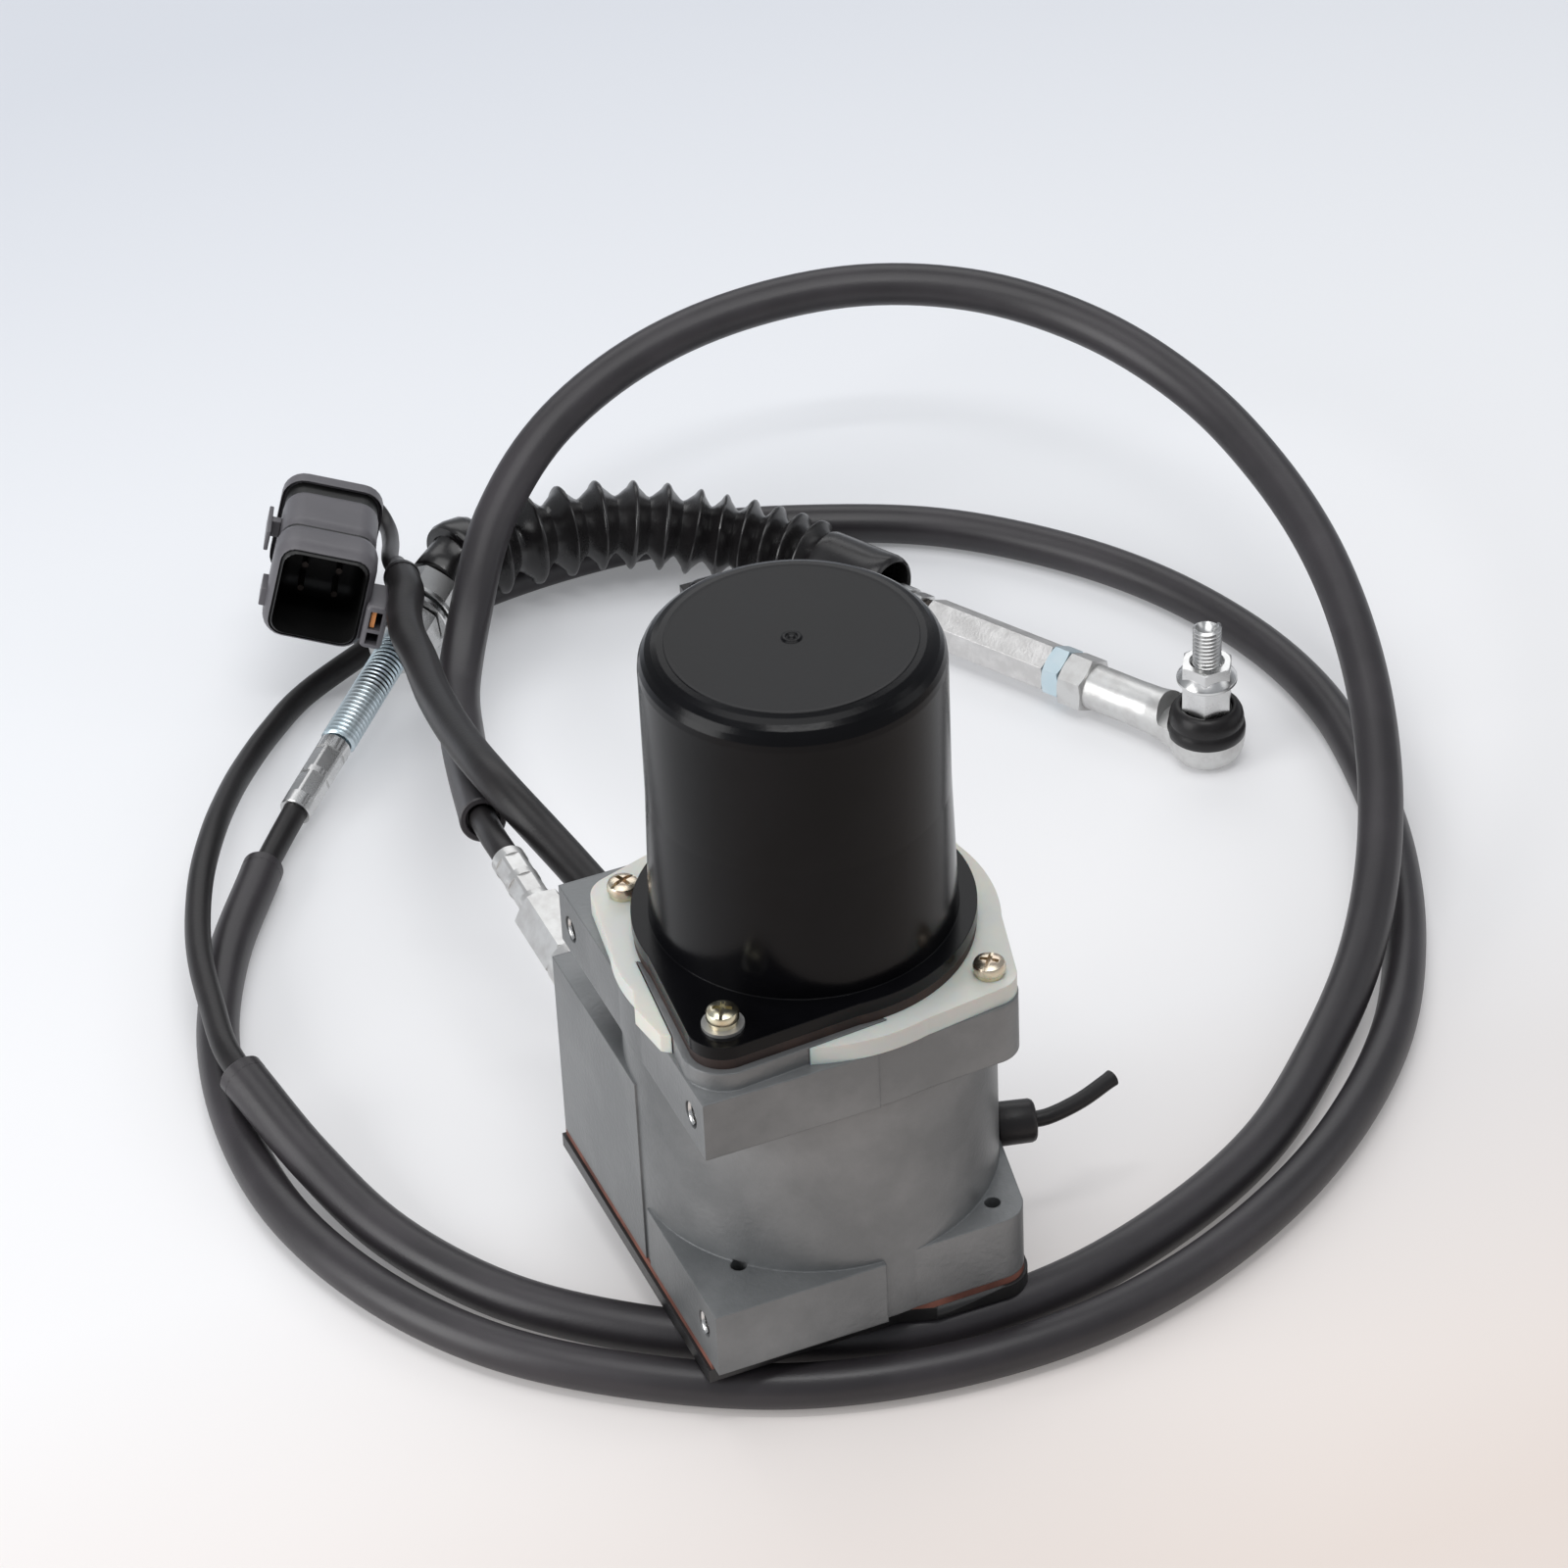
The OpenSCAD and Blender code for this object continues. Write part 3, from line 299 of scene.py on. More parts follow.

# %% [markdown]
# ## Rubber, plastic and paint
# The blacks differ more in gloss than in colour: the cover is a shiny moulding, the tubes are satin, and
# the bellows is new rubber. The gaskets are tinted dark red.

# %% Dark and soft finishes
cover_black = finish_of("cover black", (0.002, 0.002, 0.0025), 0.2, 0.0, (0.004, 0.004, 0.005),
                        30, 900, 0.05, bevel=0.0004, specular=0.16)
nylon = finish_of("milky nylon", (0.60, 0.62, 0.59), 0.38, 0.0, (0.70, 0.70, 0.62),
                  25, 500, 0.1, bevel=0.0004, glow=0.35)
gasket = finish_of("gasket", (0.020, 0.010, 0.008), 0.6, 0.0, (0.05, 0.024, 0.016), 60, 900, 0.3)
red_tint = finish_of("dark red tint", (0.11, 0.038, 0.026), 0.6, 0.0, (0.26, 0.10, 0.07), 60, 900, 0.3)
tube_black = finish_of("tube black", (0.024, 0.0215, 0.024), 0.40, 0.0, (0.034, 0.030, 0.034),
                       30, 1400, 0.12)
rubber = finish_of("black rubber", (0.011, 0.010, 0.0105), 0.40, 0.0, (0.018, 0.016, 0.017),
                   40, 1200, 0.15, specular=0.35)
gloss_rubber = finish_of("gloss rubber", (0.009, 0.008, 0.0085), 0.27, 0.0, (0.014, 0.013, 0.0135),
                         60, 1200, 0.06, specular=0.6)
grey_plastic = finish_of("grey plastic", (0.098, 0.094, 0.103), 0.42, 0.0, (0.115, 0.11, 0.12),
                         60, 1500, 0.12, bevel=0.0003)
black_plastic_and_shade = finish_of("black plastic and painted shade", (0.004, 0.004, 0.004), 0.45, 0.0, (0.007, 0.007, 0.007),
                          60, 1200, 0.1)
black_paint = finish_of("black paint", (0.012, 0.012, 0.013), 0.35, 0.0, (0.02, 0.02, 0.02),
                        50, 900, 0.1, bevel=0.0005)
orange = finish_of("orange plastic", (0.62, 0.24, 0.07), 0.4)
resin = finish_of("brown resin", (0.13, 0.07, 0.03), 0.5)
paint(cover_black, "motor_cover")
paint(nylon, "adapter_plate")
paint(gasket, "cover_gasket", "rear_seal")
paint(rubber, "cable_gland")
paint(resin, "brush_plate")
paint(black_plastic_and_shade, "sensor_case")
print("finishes on", sum(1 for o in nodes.values() if o.data.materials), "nodes")

# %% [markdown]
# ## The cords
# The cable and its tubes keep the length that the photograph shows from end to end. Each
# route repeats the model's own points, and a smooth curve is drawn through them.

# %% Routes
def smooth_way(points, steps=8):
    """Catmull-Rom points through the route, in metres."""
    p = [Vector(q) * MM for q in points]
    p = [2 * p[0] - p[1]] + p + [2 * p[-1] - p[-2]]
    way = []
    for i in range(1, len(p) - 2):
        for k in range(steps):
            t = k / steps
            a, b, c, d = p[i - 1:i + 3]
            way.append(0.5 * (2 * b + (c - a) * t + (2 * a - 5 * b + 4 * c - d) * t * t
                              + (3 * b - a - 3 * c + d) * t * t * t))
    way.append(p[-2])
    return way


def length_of(way):
    return sum((b - a).length for a, b in zip(way, way[1:]))


WAY_A = [(-35.4, 134.4, 59.3), (-27.4, 166.5, 48.4), (-18.7, 198.3, 37.6), (-8.8, 229.4, 29.6),
         (5.6, 258.9, 30.5), (23.3, 284.4, 42), (47.2, 301.2, 55.6), (78.1, 310.9, 65.7),
         (111.9, 312.3, 71.9), (146.9, 304.8, 74.7), (177.6, 286.6, 74), (201.3, 260.2, 69.4),
         (216, 228, 63), (221.5, 194, 56.7), (221, 159, 50), (214.5, 123.9, 42.1), (204, 92, 32),
         (188.7, 61.6, 22.4), (168.6, 33.9, 13.4), (143, 9, 7), (115.3, -14.2, 6.3),
         (82.8, -30.7, 6.3), (47.3, -40.5, 6.3), (11.1, -40.5, 6.3), (-23.1, -28.6, 6.3),
         (-53.4, -9.5, 6.3), (-78.5, 15.6, 6.3), (-96, 47, 7.2), (-105.9, 78.7, 11.2),
         (-113.1, 107.9, 18.4)]
WAY_B = [(-16, 291, 5.8), (19, 303, 5.8), (55, 307, 5.8), (91, 304, 5.8), (125, 292, 5.8),
         (156.7, 274.3, 5.8), (183, 248, 5.8), (202, 218, 5.8), (214, 183, 5.8), (217.3, 147.7, 5.8),
         (212, 111, 5.8), (202, 76, 5.8), (187, 43, 5.8), (167, 12, 5.8), (141, -14, 5.8),
         (112, -34, 5.8), (78, -49, 5.8), (43, -56, 5.8), (6, -54, 5.8), (-28.4, -44, 5.8),
         (-60.1, -24.8, 5.8), (-86.6, -0.6, 5.8), (-105.4, 30.1, 5.8), (-116.5, 66.2, 5.8),
         (-117.8, 103.4, 5.8), (-111, 140.3, 5.8), (-96.8, 173.9, 5.8), (-77.4, 204.2, 5.8)]
WAY_S1 = [(-38.5, 106, 66), (-38.5, 110, 66), (-38, 117.5, 64.6), (-36.7, 127, 61.9), (-35.1, 137, 58.5)]
WAY_S2 = [(-112.2, 104.1, 17.4), (-113.9, 121, 19), (-111.3, 140.5, 18.2), (-107.9, 160.3, 17.5),
          (-102.8, 178.7, 16.5), (-95.1, 198.5, 15.9), (-85.4, 218, 14), (-75.5, 235.8, 10.4),
          (-65.9, 250.8, 7.1), (-53.3, 266.2, 5), (-37.8, 280.2, 4.2), (-12, 292.4, 5.8)]
WAY_S3 = [(-79.5, 201.2, 5.8), (-68.8, 214.8, 6.2), (-60.3, 224.9, 7)]
WAY_E = [(-20, 66, 60), (-20.5, 84, 61), (-23, 98, 63.3), (-26.1, 111.2, 66), (-31.4, 133.7, 70.4),
         (-30, 164.5, 63), (-26, 196.2, 54.2), (-21.1, 222.6, 47.5), (-18.7, 239.6, 44.6),
         (-14.8, 253.9, 41.6), (-10, 265.5, 39.6), (-7.5, 277, 36.7)]
WAY_L = [(-8, 274, 37.4), (-5.8, 292, 32.5), (0, 309.5, 26), (3, 321, 23.5), (2, 329, 26),
         (-4, 333, 30.5), (-10, 329.5, 34.2), (-14, 321, 36.3), (-17, 312.5, 37.6)]
WAY_V = [(51.1, -13.5, 37.5), (57, -14.2, 37.5), (66, -12.8, 38), (75, -10, 39)]
WAY_BELLOWS = [(8.2, 291.7, 22.8), (15, 296.4, 23.8), (25, 297.4, 23.6), (37, 298, 23.2),
               (49, 298.3, 22.4), (60, 297.2, 21.8), (70, 294.7, 20.4), (79.5, 291.4, 18.6),
               (89, 287, 16), (98, 281.4, 14.6), (106, 274.4, 13.6), (112.5, 266.5, 12.9),
               (118, 256.6, 12.5), (123.7, 244.8, 12.2), (129.9, 233.4, 12)]

WAYS = {"A": WAY_A, "B": WAY_B, "S1": WAY_S1, "S2": WAY_S2, "S3": WAY_S3, "E": WAY_E, "L": WAY_L,
        "V": WAY_V, "bellows": WAY_BELLOWS}
ways = {key: smooth_way(points) for key, points in WAYS.items()}
for key, way in ways.items():
    print("route", key, round(length_of(way), 3), "m")

# %% [markdown]
# ## Laying the cords
# A cord stays a curve, so that its length can be measured and a user can lay it another
# way. Its round section is the curve's own bevel, and its ends are capped. The two wide
# tubes protect the cable, and the thin sheath is the cable itself between them.

# %% Lay the cords
TUBE_A, TUBE_B, SHEATH, WIRE, LEADS, HOSE = 12.2, 11.4, 7.0, 10.0, 5.0, 4.2
ROUNDNESS = 8


def lay_tube(name, way, diameter, material):
    """A curve of one open spline with a round section and closed ends."""
    curve = bpy.data.curves.new(name, "CURVE")
    curve.dimensions = "3D"
    curve.bevel_depth = diameter / 2
    curve.bevel_resolution = ROUNDNESS
    curve.use_fill_caps = True
    spline = curve.splines.new("POLY")
    spline.points.add(len(way) - 1)
    for point, place in zip(spline.points, way):
        point.co = (*place, 1)
    spline.use_smooth = True
    obj = bpy.data.objects.new(name, curve)
    bpy.context.scene.collection.objects.link(obj)
    curve.materials.append(material)
    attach(obj, "actuator")
    return obj


for key, name, across, material, slot, node in (
        ("A", "first_tube", TUBE_A, tube_black, "tube", "tube_long"),
        ("B", "second_tube", TUBE_B, tube_black, "tube", "tube_lower"),
        ("S1", "sheath_at_fitting", SHEATH, rubber, "black_rubber", "sheath_first"),
        ("S2", "sheath_between_tubes", SHEATH, rubber, "black_rubber", "sheath_middle"),
        ("S3", "sheath_at_conduit", SHEATH, rubber, "black_rubber", "sheath_end"),
        ("E", "electric_lead", WIRE, rubber, "black_rubber", "electric_cable"),
        ("L", "inner_leads", LEADS, rubber, "black_rubber", "lead_bundle"),
        ("V", "vent_hose", HOSE, rubber, "black_rubber", "vent_tube")):
    lay_tube(name, ways[key], across * MM, material)
    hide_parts(node)

# %% [markdown]
# ## Drawing with edges
# Most parts here are turned on a lathe, so most pieces start as a line. One vertex is
# extruded from point to point, which is the plainest way to draw an outline, and Spin
# carries it round the axis. Doubles on the axis and at the seam are merged before the
# normals are recalculated, because a spin can leave them pointing inwards.

# %% Lines, lathe work and cuts
def draw_line(points):
    bpy.ops.object.select_all(action="DESELECT")
    bpy.ops.mesh.primitive_plane_add(size=MM)
    bpy.ops.object.mode_set(mode="EDIT")
    bpy.ops.mesh.select_all(action="SELECT")
    bpy.ops.mesh.merge(type="CENTER")
    bpy.ops.transform.translate(value=Vector(points[0]) * MM)
    for a, b in zip(points, points[1:]):
        step = (Vector(b) - Vector(a)) * MM
        bpy.ops.mesh.extrude_vertices_move(TRANSFORM_OT_translate={"value": step})
    bpy.ops.object.mode_set(mode="OBJECT")
    return bpy.context.object


def tidy_mesh(obj):
    alone(obj)
    bpy.ops.object.mode_set(mode="EDIT")
    bpy.ops.mesh.select_all(action="SELECT")
    bpy.ops.mesh.remove_doubles(threshold=0.001 * MM)
    bpy.ops.mesh.normals_make_consistent(inside=False)
    bpy.ops.object.mode_set(mode="OBJECT")
    return obj


def lathe(outline, place=Matrix(), steps=48):
    """Spin an outline of (radius, height) points about the piece's own Z axis."""
    obj = draw_line([(r, 0, z) for r, z in outline])
    bpy.ops.object.mode_set(mode="EDIT")
    bpy.ops.mesh.select_all(action="SELECT")
    bpy.ops.mesh.spin(steps=steps, angle=TURN, center=(0, 0, 0), axis=(0, 0, 1))
    bpy.ops.object.mode_set(mode="OBJECT")
    tidy_mesh(obj)
    obj.matrix_world = place
    return obj


def cut(obj, tool, kind="DIFFERENCE"):
    """Use up a second piece as a cutter or a mould."""
    m = obj.modifiers.new("cut", "BOOLEAN")
    m.operation, m.object, m.solver = kind, tool, "EXACT"
    bpy.context.view_layer.update()
    bake(obj, m)
    bpy.data.objects.remove(tool)
    return obj


def soften(obj, width, segments=2, angle=30):
    m = obj.modifiers.new("edge", "BEVEL")
    m.width, m.segments = width * MM, segments
    m.limit_method, m.angle_limit = "ANGLE", math.radians(angle)
    return bake(obj, m)


print("drawing: draw_line, tidy_mesh, lathe, cut, soften")

# %% [markdown]
# ## Open tube ends
# The protective tubes are only slipped over the cable, so their cut ends stand open and
# the cable comes out of a dark mouth. A short ring, as wide as the tube and hollow, is
# turned on the lathe and set on each end, because the curve itself is closed there.

# %% Tube mouths
def facing(way, end):
    """A frame at one end of a route, its Z axis pointing out of the tube."""
    tip, inner = (way[0], way[2]) if end == 0 else (way[-1], way[-3])
    out = (tip - inner).normalized()
    return Matrix.Translation(tip) @ out.to_track_quat("Z", "Y").to_matrix().to_4x4()


def tube_mouth(name, way, end, diameter, bore):
    r, b, reach = diameter / 2, bore / 2, 3.0
    outline = [(b, 0), (r, 0), (r, reach - 0.4), (r - 0.4, reach), (b + 0.3, reach),
               (b, reach - 0.3), (b, 0)]
    return settle(lathe(outline, facing(way, end)), name, "actuator", tube_black)


mouth_a0 = tube_mouth("first_tube_mouth", ways["A"], 0, TUBE_A, 8.6)
mouth_a1 = tube_mouth("first_tube_tail", ways["A"], 1, TUBE_A, 8.6)
mouth_b1 = tube_mouth("second_tube_mouth", ways["B"], 1, TUBE_B, 8.2)
hose_end = lathe([(1.1, -0.2), (2.1, -0.2), (2.2, 1.4), (1.9, 1.6), (1.3, 1.6), (1.1, 1.3), (1.1, -0.2)],
                 facing(ways["V"], 1), 32)
settle(hose_end, "vent_hose_mouth", "actuator", rubber)
print("tube mouths:", mouth_a0.name, mouth_a1.name, mouth_b1.name, hose_end.name)

# %% [markdown]
# ## Where the cable's jacket ends
# The thick electric cable ends in a shrunk-on collar, and only the thin inner leads go on
# to the connector. The collar is one more turned outline, closed on its axis, and it
# narrows in five steps from the cable's width to the leads'.

# %% Lead collar
collar = lathe([(0, -1), (5.15, -1), (5.2, 0.5), (4.7, 2.5), (3.6, 6), (2.9, 9), (2.6, 11.5), (0, 11.5)],
               facing(ways["E"], 1))
settle(collar, "lead_collar", "actuator", rubber, 60)
print("collar:", len(collar.data.polygons), "faces")

# %% [markdown]
# ## The bellows
# A moulded rubber boot keeps dirt off the sliding rod: a wide cuff over the conduit, then
# twelve sharp folds that grow smaller, then a plain sleeve that the rod slides in. It is
# turned straight on the lathe, where the folds are easy to space, and a Curve modifier
# bends it along its route, which opens the outer folds and closes the inner ones just as
# bending the real one does. Straight walls get a ring every few millimetres, because a
# wall without rings would cut across the bend.

# %% Turn the bellows
FOLDS = 12
FOLD_AT = [20.5 + 11.5 * k - 0.25 * k * k for k in range(FOLDS)]
SLEEVE_FROM, SLEEVE_TO, RING = 121.0, 145.5, 3.0
MOUTH_R, MOUTH_RINGS = 9.7, 5
INNER_R, INNER_RINGS = 7.1, 8


def cuff_outline():
    return [(0, -3), (7.4, -3), (8.0, -2.4), (8.1, 2), (8.2, 6.9), (8.6, 7.4), (9.8, 7.5), (11.0, 7.5),
            (11.5, 8.1), (11.6, 9.5), (11.5, 12.5), (10.8, 14.5), (9.4, 16.2), (8.8, 17.2)]


def folds_outline():
    line = []
    for k, at in enumerate(FOLD_AT):
        tip, root = 13.5 - 0.16 * k, 8.4 - 0.05 * k
        line += [(tip - 1.9, at - 1.5), (tip - 0.6, at - 0.8), (tip, at - 0.25), (tip, at + 0.25),
                 (tip - 0.6, at + 0.8), (tip - 1.9, at + 1.5)]
        if k < FOLDS - 1:
            width = FOLD_AT[k + 1] - at
            line += [(root + 0.5, at + 0.40 * width), (root, at + 0.5 * width),
                     (root + 0.5, at + 0.60 * width)]
    return line


def sleeve_outline():
    line = [(8.6, SLEEVE_FROM - 1.3), (9.2, SLEEVE_FROM - 0.6), (10.0, SLEEVE_FROM),
            (10.4, SLEEVE_FROM + 1)]
    line += [(10.5 + 0.18 * k, SLEEVE_FROM + 3.5 + RING * k) for k in range(7)]
    line += [(11.4, SLEEVE_TO - 1.6), (10.9, SLEEVE_TO - 0.4), (10.2, SLEEVE_TO),
             (MOUTH_R, SLEEVE_TO - 0.6)]
    line += [(MOUTH_R, SLEEVE_TO - RING * k) for k in range(1, MOUTH_RINGS + 1)]
    inner_from = SLEEVE_TO - RING * MOUTH_RINGS - 0.5
    line += [(INNER_R, inner_from - RING * k) for k in range(INNER_RINGS)]
    return line + [(0, inner_from - RING * (INNER_RINGS - 1))]


bellows = lathe(cuff_outline() + folds_outline() + sleeve_outline(), steps=64)
print("bellows turned:", FOLDS, "folds,", len(bellows.data.polygons), "faces")

# %% [markdown]
# ## Bending the bellows
# The Curve modifier carries each ring of the straight piece to the same distance along
# the route. Its guide curve is only needed until the modifier is applied.

# %% Bend the bellows
def bend_along(obj, way):
    path = bpy.data.curves.new("path", "CURVE")
    path.dimensions = "3D"
    spline = path.splines.new("POLY")
    spline.points.add(len(way) - 1)
    for point, place in zip(spline.points, way):
        point.co = (*place, 1)
    guide = bpy.data.objects.new("guide", path)
    bpy.context.scene.collection.objects.link(guide)
    m = obj.modifiers.new("bend", "CURVE")
    m.object, m.deform_axis = guide, "POS_Z"
    bpy.context.view_layer.update()
    bake(obj, m)
    bpy.data.objects.remove(guide)
    return obj


bend_along(bellows, ways["bellows"])
settle(bellows, "folded_bellows", "actuator", gloss_rubber, 50)
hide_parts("bellows")
print("bellows bent along", round(length_of(ways["bellows"]), 3), "m")

# %% [markdown]
# ## Hexagons and threads
# A nut is a six-sided bar whose corners a cone has taken off, which leaves the curved
# edge that every real nut has. A thread is one tooth climbed round the axis by a Screw
# modifier. The open edges of its lower and upper half are then drawn together on the
# axis, which closes the ends and leaves some faces inside the rod.

# %% Nut and thread makers
CHAMFER_SHARE, CHAMFER_FALL = 0.485, 0.55


def hexagon(flats, low, high, place, ends=(True, True), bore=0):
    """A six-sided bar whose ends a cone has taken the corners off."""
    corner, rim = flats / math.sqrt(3), flats * CHAMFER_SHARE
    slope = (corner - rim) / CHAMFER_FALL
    plain = corner + 1
    bar = lathe([(0, low), (corner, low), (corner, high), (0, high)], place, 6)
    mould = [(0, low - 0.5),
             (rim - 0.5 * slope if ends[0] else plain, low - 0.5),
             (corner + 0.2 if ends[0] else plain, low + CHAMFER_FALL),
             (corner + 0.2 if ends[1] else plain, high - CHAMFER_FALL),
             (rim - 0.5 * slope if ends[1] else plain, high + 0.5),
             (0, high + 0.5)]
    cut(bar, lathe(mould, place, 64), "INTERSECT")
    if bore:
        cut(bar, lathe([(0, low - 1), (bore, low - 1), (bore, high + 1), (0, high + 1)], place))
    return bar


def close_end(obj, test):
    """Draw the open rim whose points pass the test together to one point."""
    alone(obj)
    bpy.ops.object.mode_set(mode="EDIT")
    bpy.ops.mesh.select_mode(type="EDGE")
    bpy.ops.mesh.select_all(action="DESELECT")
    bpy.ops.mesh.select_non_manifold(extend=False, use_wire=False, use_boundary=True,
                                     use_multi_face=False, use_non_contiguous=False, use_verts=False)
    bpy.ops.object.mode_set(mode="OBJECT")
    mesh = obj.data
    for v in mesh.vertices:
        v.select = v.select and test(v.co)
    for e in mesh.edges:
        e.select = e.select and all(mesh.vertices[i].select for i in e.vertices)
    bpy.ops.object.mode_set(mode="EDIT")
    bpy.ops.mesh.extrude_edges_move(TRANSFORM_OT_translate={"value": (0, 0, 0)})
    bpy.ops.mesh.merge(type="CENTER")
    bpy.ops.mesh.select_mode(type="VERT")
    bpy.ops.object.mode_set(mode="OBJECT")
    return obj


def thread(r, pitch, low, turns, place, steps=32):
    """A threaded rod of a whole number of turns."""
    root = r - 0.6 * pitch
    rod = draw_line([(root, 0, low), (r, 0, low + 0.38 * pitch), (r, 0, low + 0.55 * pitch),
                     (root, 0, low + 0.93 * pitch), (root, 0, low + pitch)])
    m = rod.modifiers.new("turns", "SCREW")
    m.axis, m.angle, m.screw_offset, m.iterations = "Z", TURN, pitch * MM, turns
    m.steps = m.render_steps = steps
    m.use_merge_vertices, m.merge_threshold = True, 0.001 * MM
    bake(rod, m)
    middle = (low + turns * pitch / 2) * MM
    close_end(rod, lambda p: p.z < middle)
    close_end(rod, lambda p: p.z > middle)
    tidy_mesh(rod)
    rod.matrix_world = place
    return rod


print("makers: hexagon, thread")

# %% [markdown]
# ## The threaded conduit
# The cable's metal end has two hexagonal crimps where the sleeve was squeezed on to the
# sheath, then a long thread with two nuts and two washers that clamp it in a bracket.
# The crimps are cut with a ring that has a six-sided hole.

# %% Crimped sleeves, nuts and washers
SHEATH_BORE, CORE_BORE, SOCKET_DEPTH = 3.55, 2.6, 4.0


def crimped(low, high, r, crimps, place):
    """A sleeve with a socket for the sheath, squeezed to six sides in some places."""
    step = low + SOCKET_DEPTH
    sleeve = lathe([(CORE_BORE, step), (SHEATH_BORE, step), (SHEATH_BORE, low), (r - 0.25, low),
                    (r, low + 0.3), (r, high - 0.4), (r - 0.4, high), (CORE_BORE, high),
                    (CORE_BORE, step)], place)
    for a, b in crimps:
        ring = lathe([(0, a), (r + 2, a), (r + 2, b), (0, b)], place)
        hexagonal = lathe([(0, a - 1), (r * 1.045, a - 1), (r * 1.045, b + 1), (0, b + 1)], place, 6)
        cut(sleeve, cut(ring, hexagonal))
    return sleeve


def washer(inner, outer, low, high, place, edge=0.3):
    return lathe([(inner, low), (outer - edge, low), (outer, low + edge), (outer, high - edge),
                  (outer - edge, high), (inner, high), (inner, low)], place, 64)


conduit_sleeve = settle(crimped(0, 27, 4.6, ((4.5, 12.5), (14.5, 22.5)), CONDUIT), "crimped_sleeve",
                        "actuator", zinc, 25)
CONDUIT_R, CONDUIT_PITCH, CONDUIT_FROM, CONDUIT_TURNS = 5, 1.5, 27, 53
conduit_thread = settle(thread(CONDUIT_R, CONDUIT_PITCH, CONDUIT_FROM, CONDUIT_TURNS, CONDUIT, 28),
                        "conduit_thread", "actuator", blue_zinc, 60)
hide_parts("swage_sleeve")
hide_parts("threaded_conduit")
clamp_nuts = [settle(hexagon(17, low, high, CONDUIT), name, "actuator", zinc, 25)
              for name, low, high in (("lower_clamp_nut", 66, 77.8), ("upper_clamp_nut", 83.2, 92))]
clamp_washers = [settle(washer(5.05, 11, low, low + 1.8, CONDUIT), name, "actuator", zinc, 25)
                 for name, low in (("lower_clamp_washer", 78.1), ("upper_clamp_washer", 81.1))]
for piece in clamp_nuts:
    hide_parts("conduit_nuts")
for piece in clamp_washers:
    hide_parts("conduit_washers")
print("conduit:", len(conduit_thread.data.polygons), "faces of thread")

# %% [markdown]
# ## The cable fitting
# Where the cable leaves the housing, a round collar, a hexagon and a crimped sleeve stand
# in one row. The sleeve is drawn like the conduit's and then turned end for end, so that
# its socket faces away from the housing.

# %% Fitting pieces
SWAGE_LOW, SWAGE_HIGH = 30.2, 54.4
END_FOR_END = (Matrix.Rotation(TURN / 2, 4, "X")
               @ Matrix.Translation((0, 0, -(SWAGE_LOW + SWAGE_HIGH) * MM)))
fitting_nut = settle(hexagon(13, 8, 30.4, FITTING, bore=CORE_BORE), "fitting_nut", "actuator",
                     soft_zinc, 25)
swage = crimped(SWAGE_LOW, SWAGE_HIGH, 4.5, ((33.5, 40), (42.5, 49.5)), FITTING @ END_FOR_END)
fitting_sleeve = settle(swage, "fitting_sleeve", "actuator", soft_zinc, 25)
shoulder = lathe([(CORE_BORE, 0), (4.7, 0), (4.7, 3), (7.2, 3), (7.2, 8), (6.8, 8.4), (CORE_BORE, 8.4),
                  (CORE_BORE, 0)], FITTING)
fitting_collar = settle(shoulder, "fitting_collar", "actuator", soft_zinc, 25)
fitting = (fitting_nut, fitting_sleeve, fitting_collar)
for piece in fitting:
    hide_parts("cable_fitting")
print("fitting:", ", ".join(o.name for o in fitting))

# %% [markdown]
# ## The rod
# The push rod is a long six-sided turnbuckle between two lock nuts, with a short neck that runs into the
# bellows. The neck is dark, painted shade where the exposed thread lies in shadow. They all ride on the
# sliding rod's body.

# %% Turnbuckle, neck and nuts
turnbuckle = settle(hexagon(12.5, 51, 93.2, ROD), "turnbuckle_bar", "rod", aluminium, 25)
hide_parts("turnbuckle")
lock_nut = settle(hexagon(13.4, 45.4, 51, ROD), "lock_nut", "rod", blue_zinc, 25)
small_nut = settle(hexagon(12, 96.2, 100.6, ROD, bore=3.1), "rod_nut", "rod", zinc, 25)
# The neck is painted dark: painted shade where the exposed thread lies in shadow.
neck = lathe([(3.1, 93), (4.6, 93), (5.3, 93.6), (5.4, 95.6), (4.8, 96.3), (3.1, 96.3), (3.1, 93)], ROD)
settle(neck, "rod_neck", "rod", dark_iron_and_shade)
for piece in (lock_nut, small_nut, neck):
    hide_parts("jam_nuts")
print("rod:", turnbuckle.name, lock_nut.name, small_nut.name, neck.name)

# %% [markdown]
# ## The rod end
# The rod end is a forging: its shank flows into the eye that holds the ball. Two turned
# shapes are joined, remeshed as one skin and smoothed, which gives the soft hollow between
# them that a forging has. Then the eye's top is cut flat again.

# %% Forged rod end
def blend_skin(parts, voxel=0.45, passes=6):
    """Grow several closed shapes together into one smooth skin."""
    bpy.ops.object.select_all(action="DESELECT")
    for p in parts:
        p.select_set(True)
    bpy.context.view_layer.objects.active = parts[0]
    bpy.ops.object.join()
    obj = bpy.context.object
    bpy.ops.object.transform_apply(location=True, rotation=True, scale=True)
    m = obj.modifiers.new("skin", "REMESH")
    m.mode, m.voxel_size = "VOXEL", voxel * MM
    bake(obj, m)
    s = obj.modifiers.new("flow", "SMOOTH")
    s.factor, s.iterations = 0.5, passes
    return bake(obj, s)


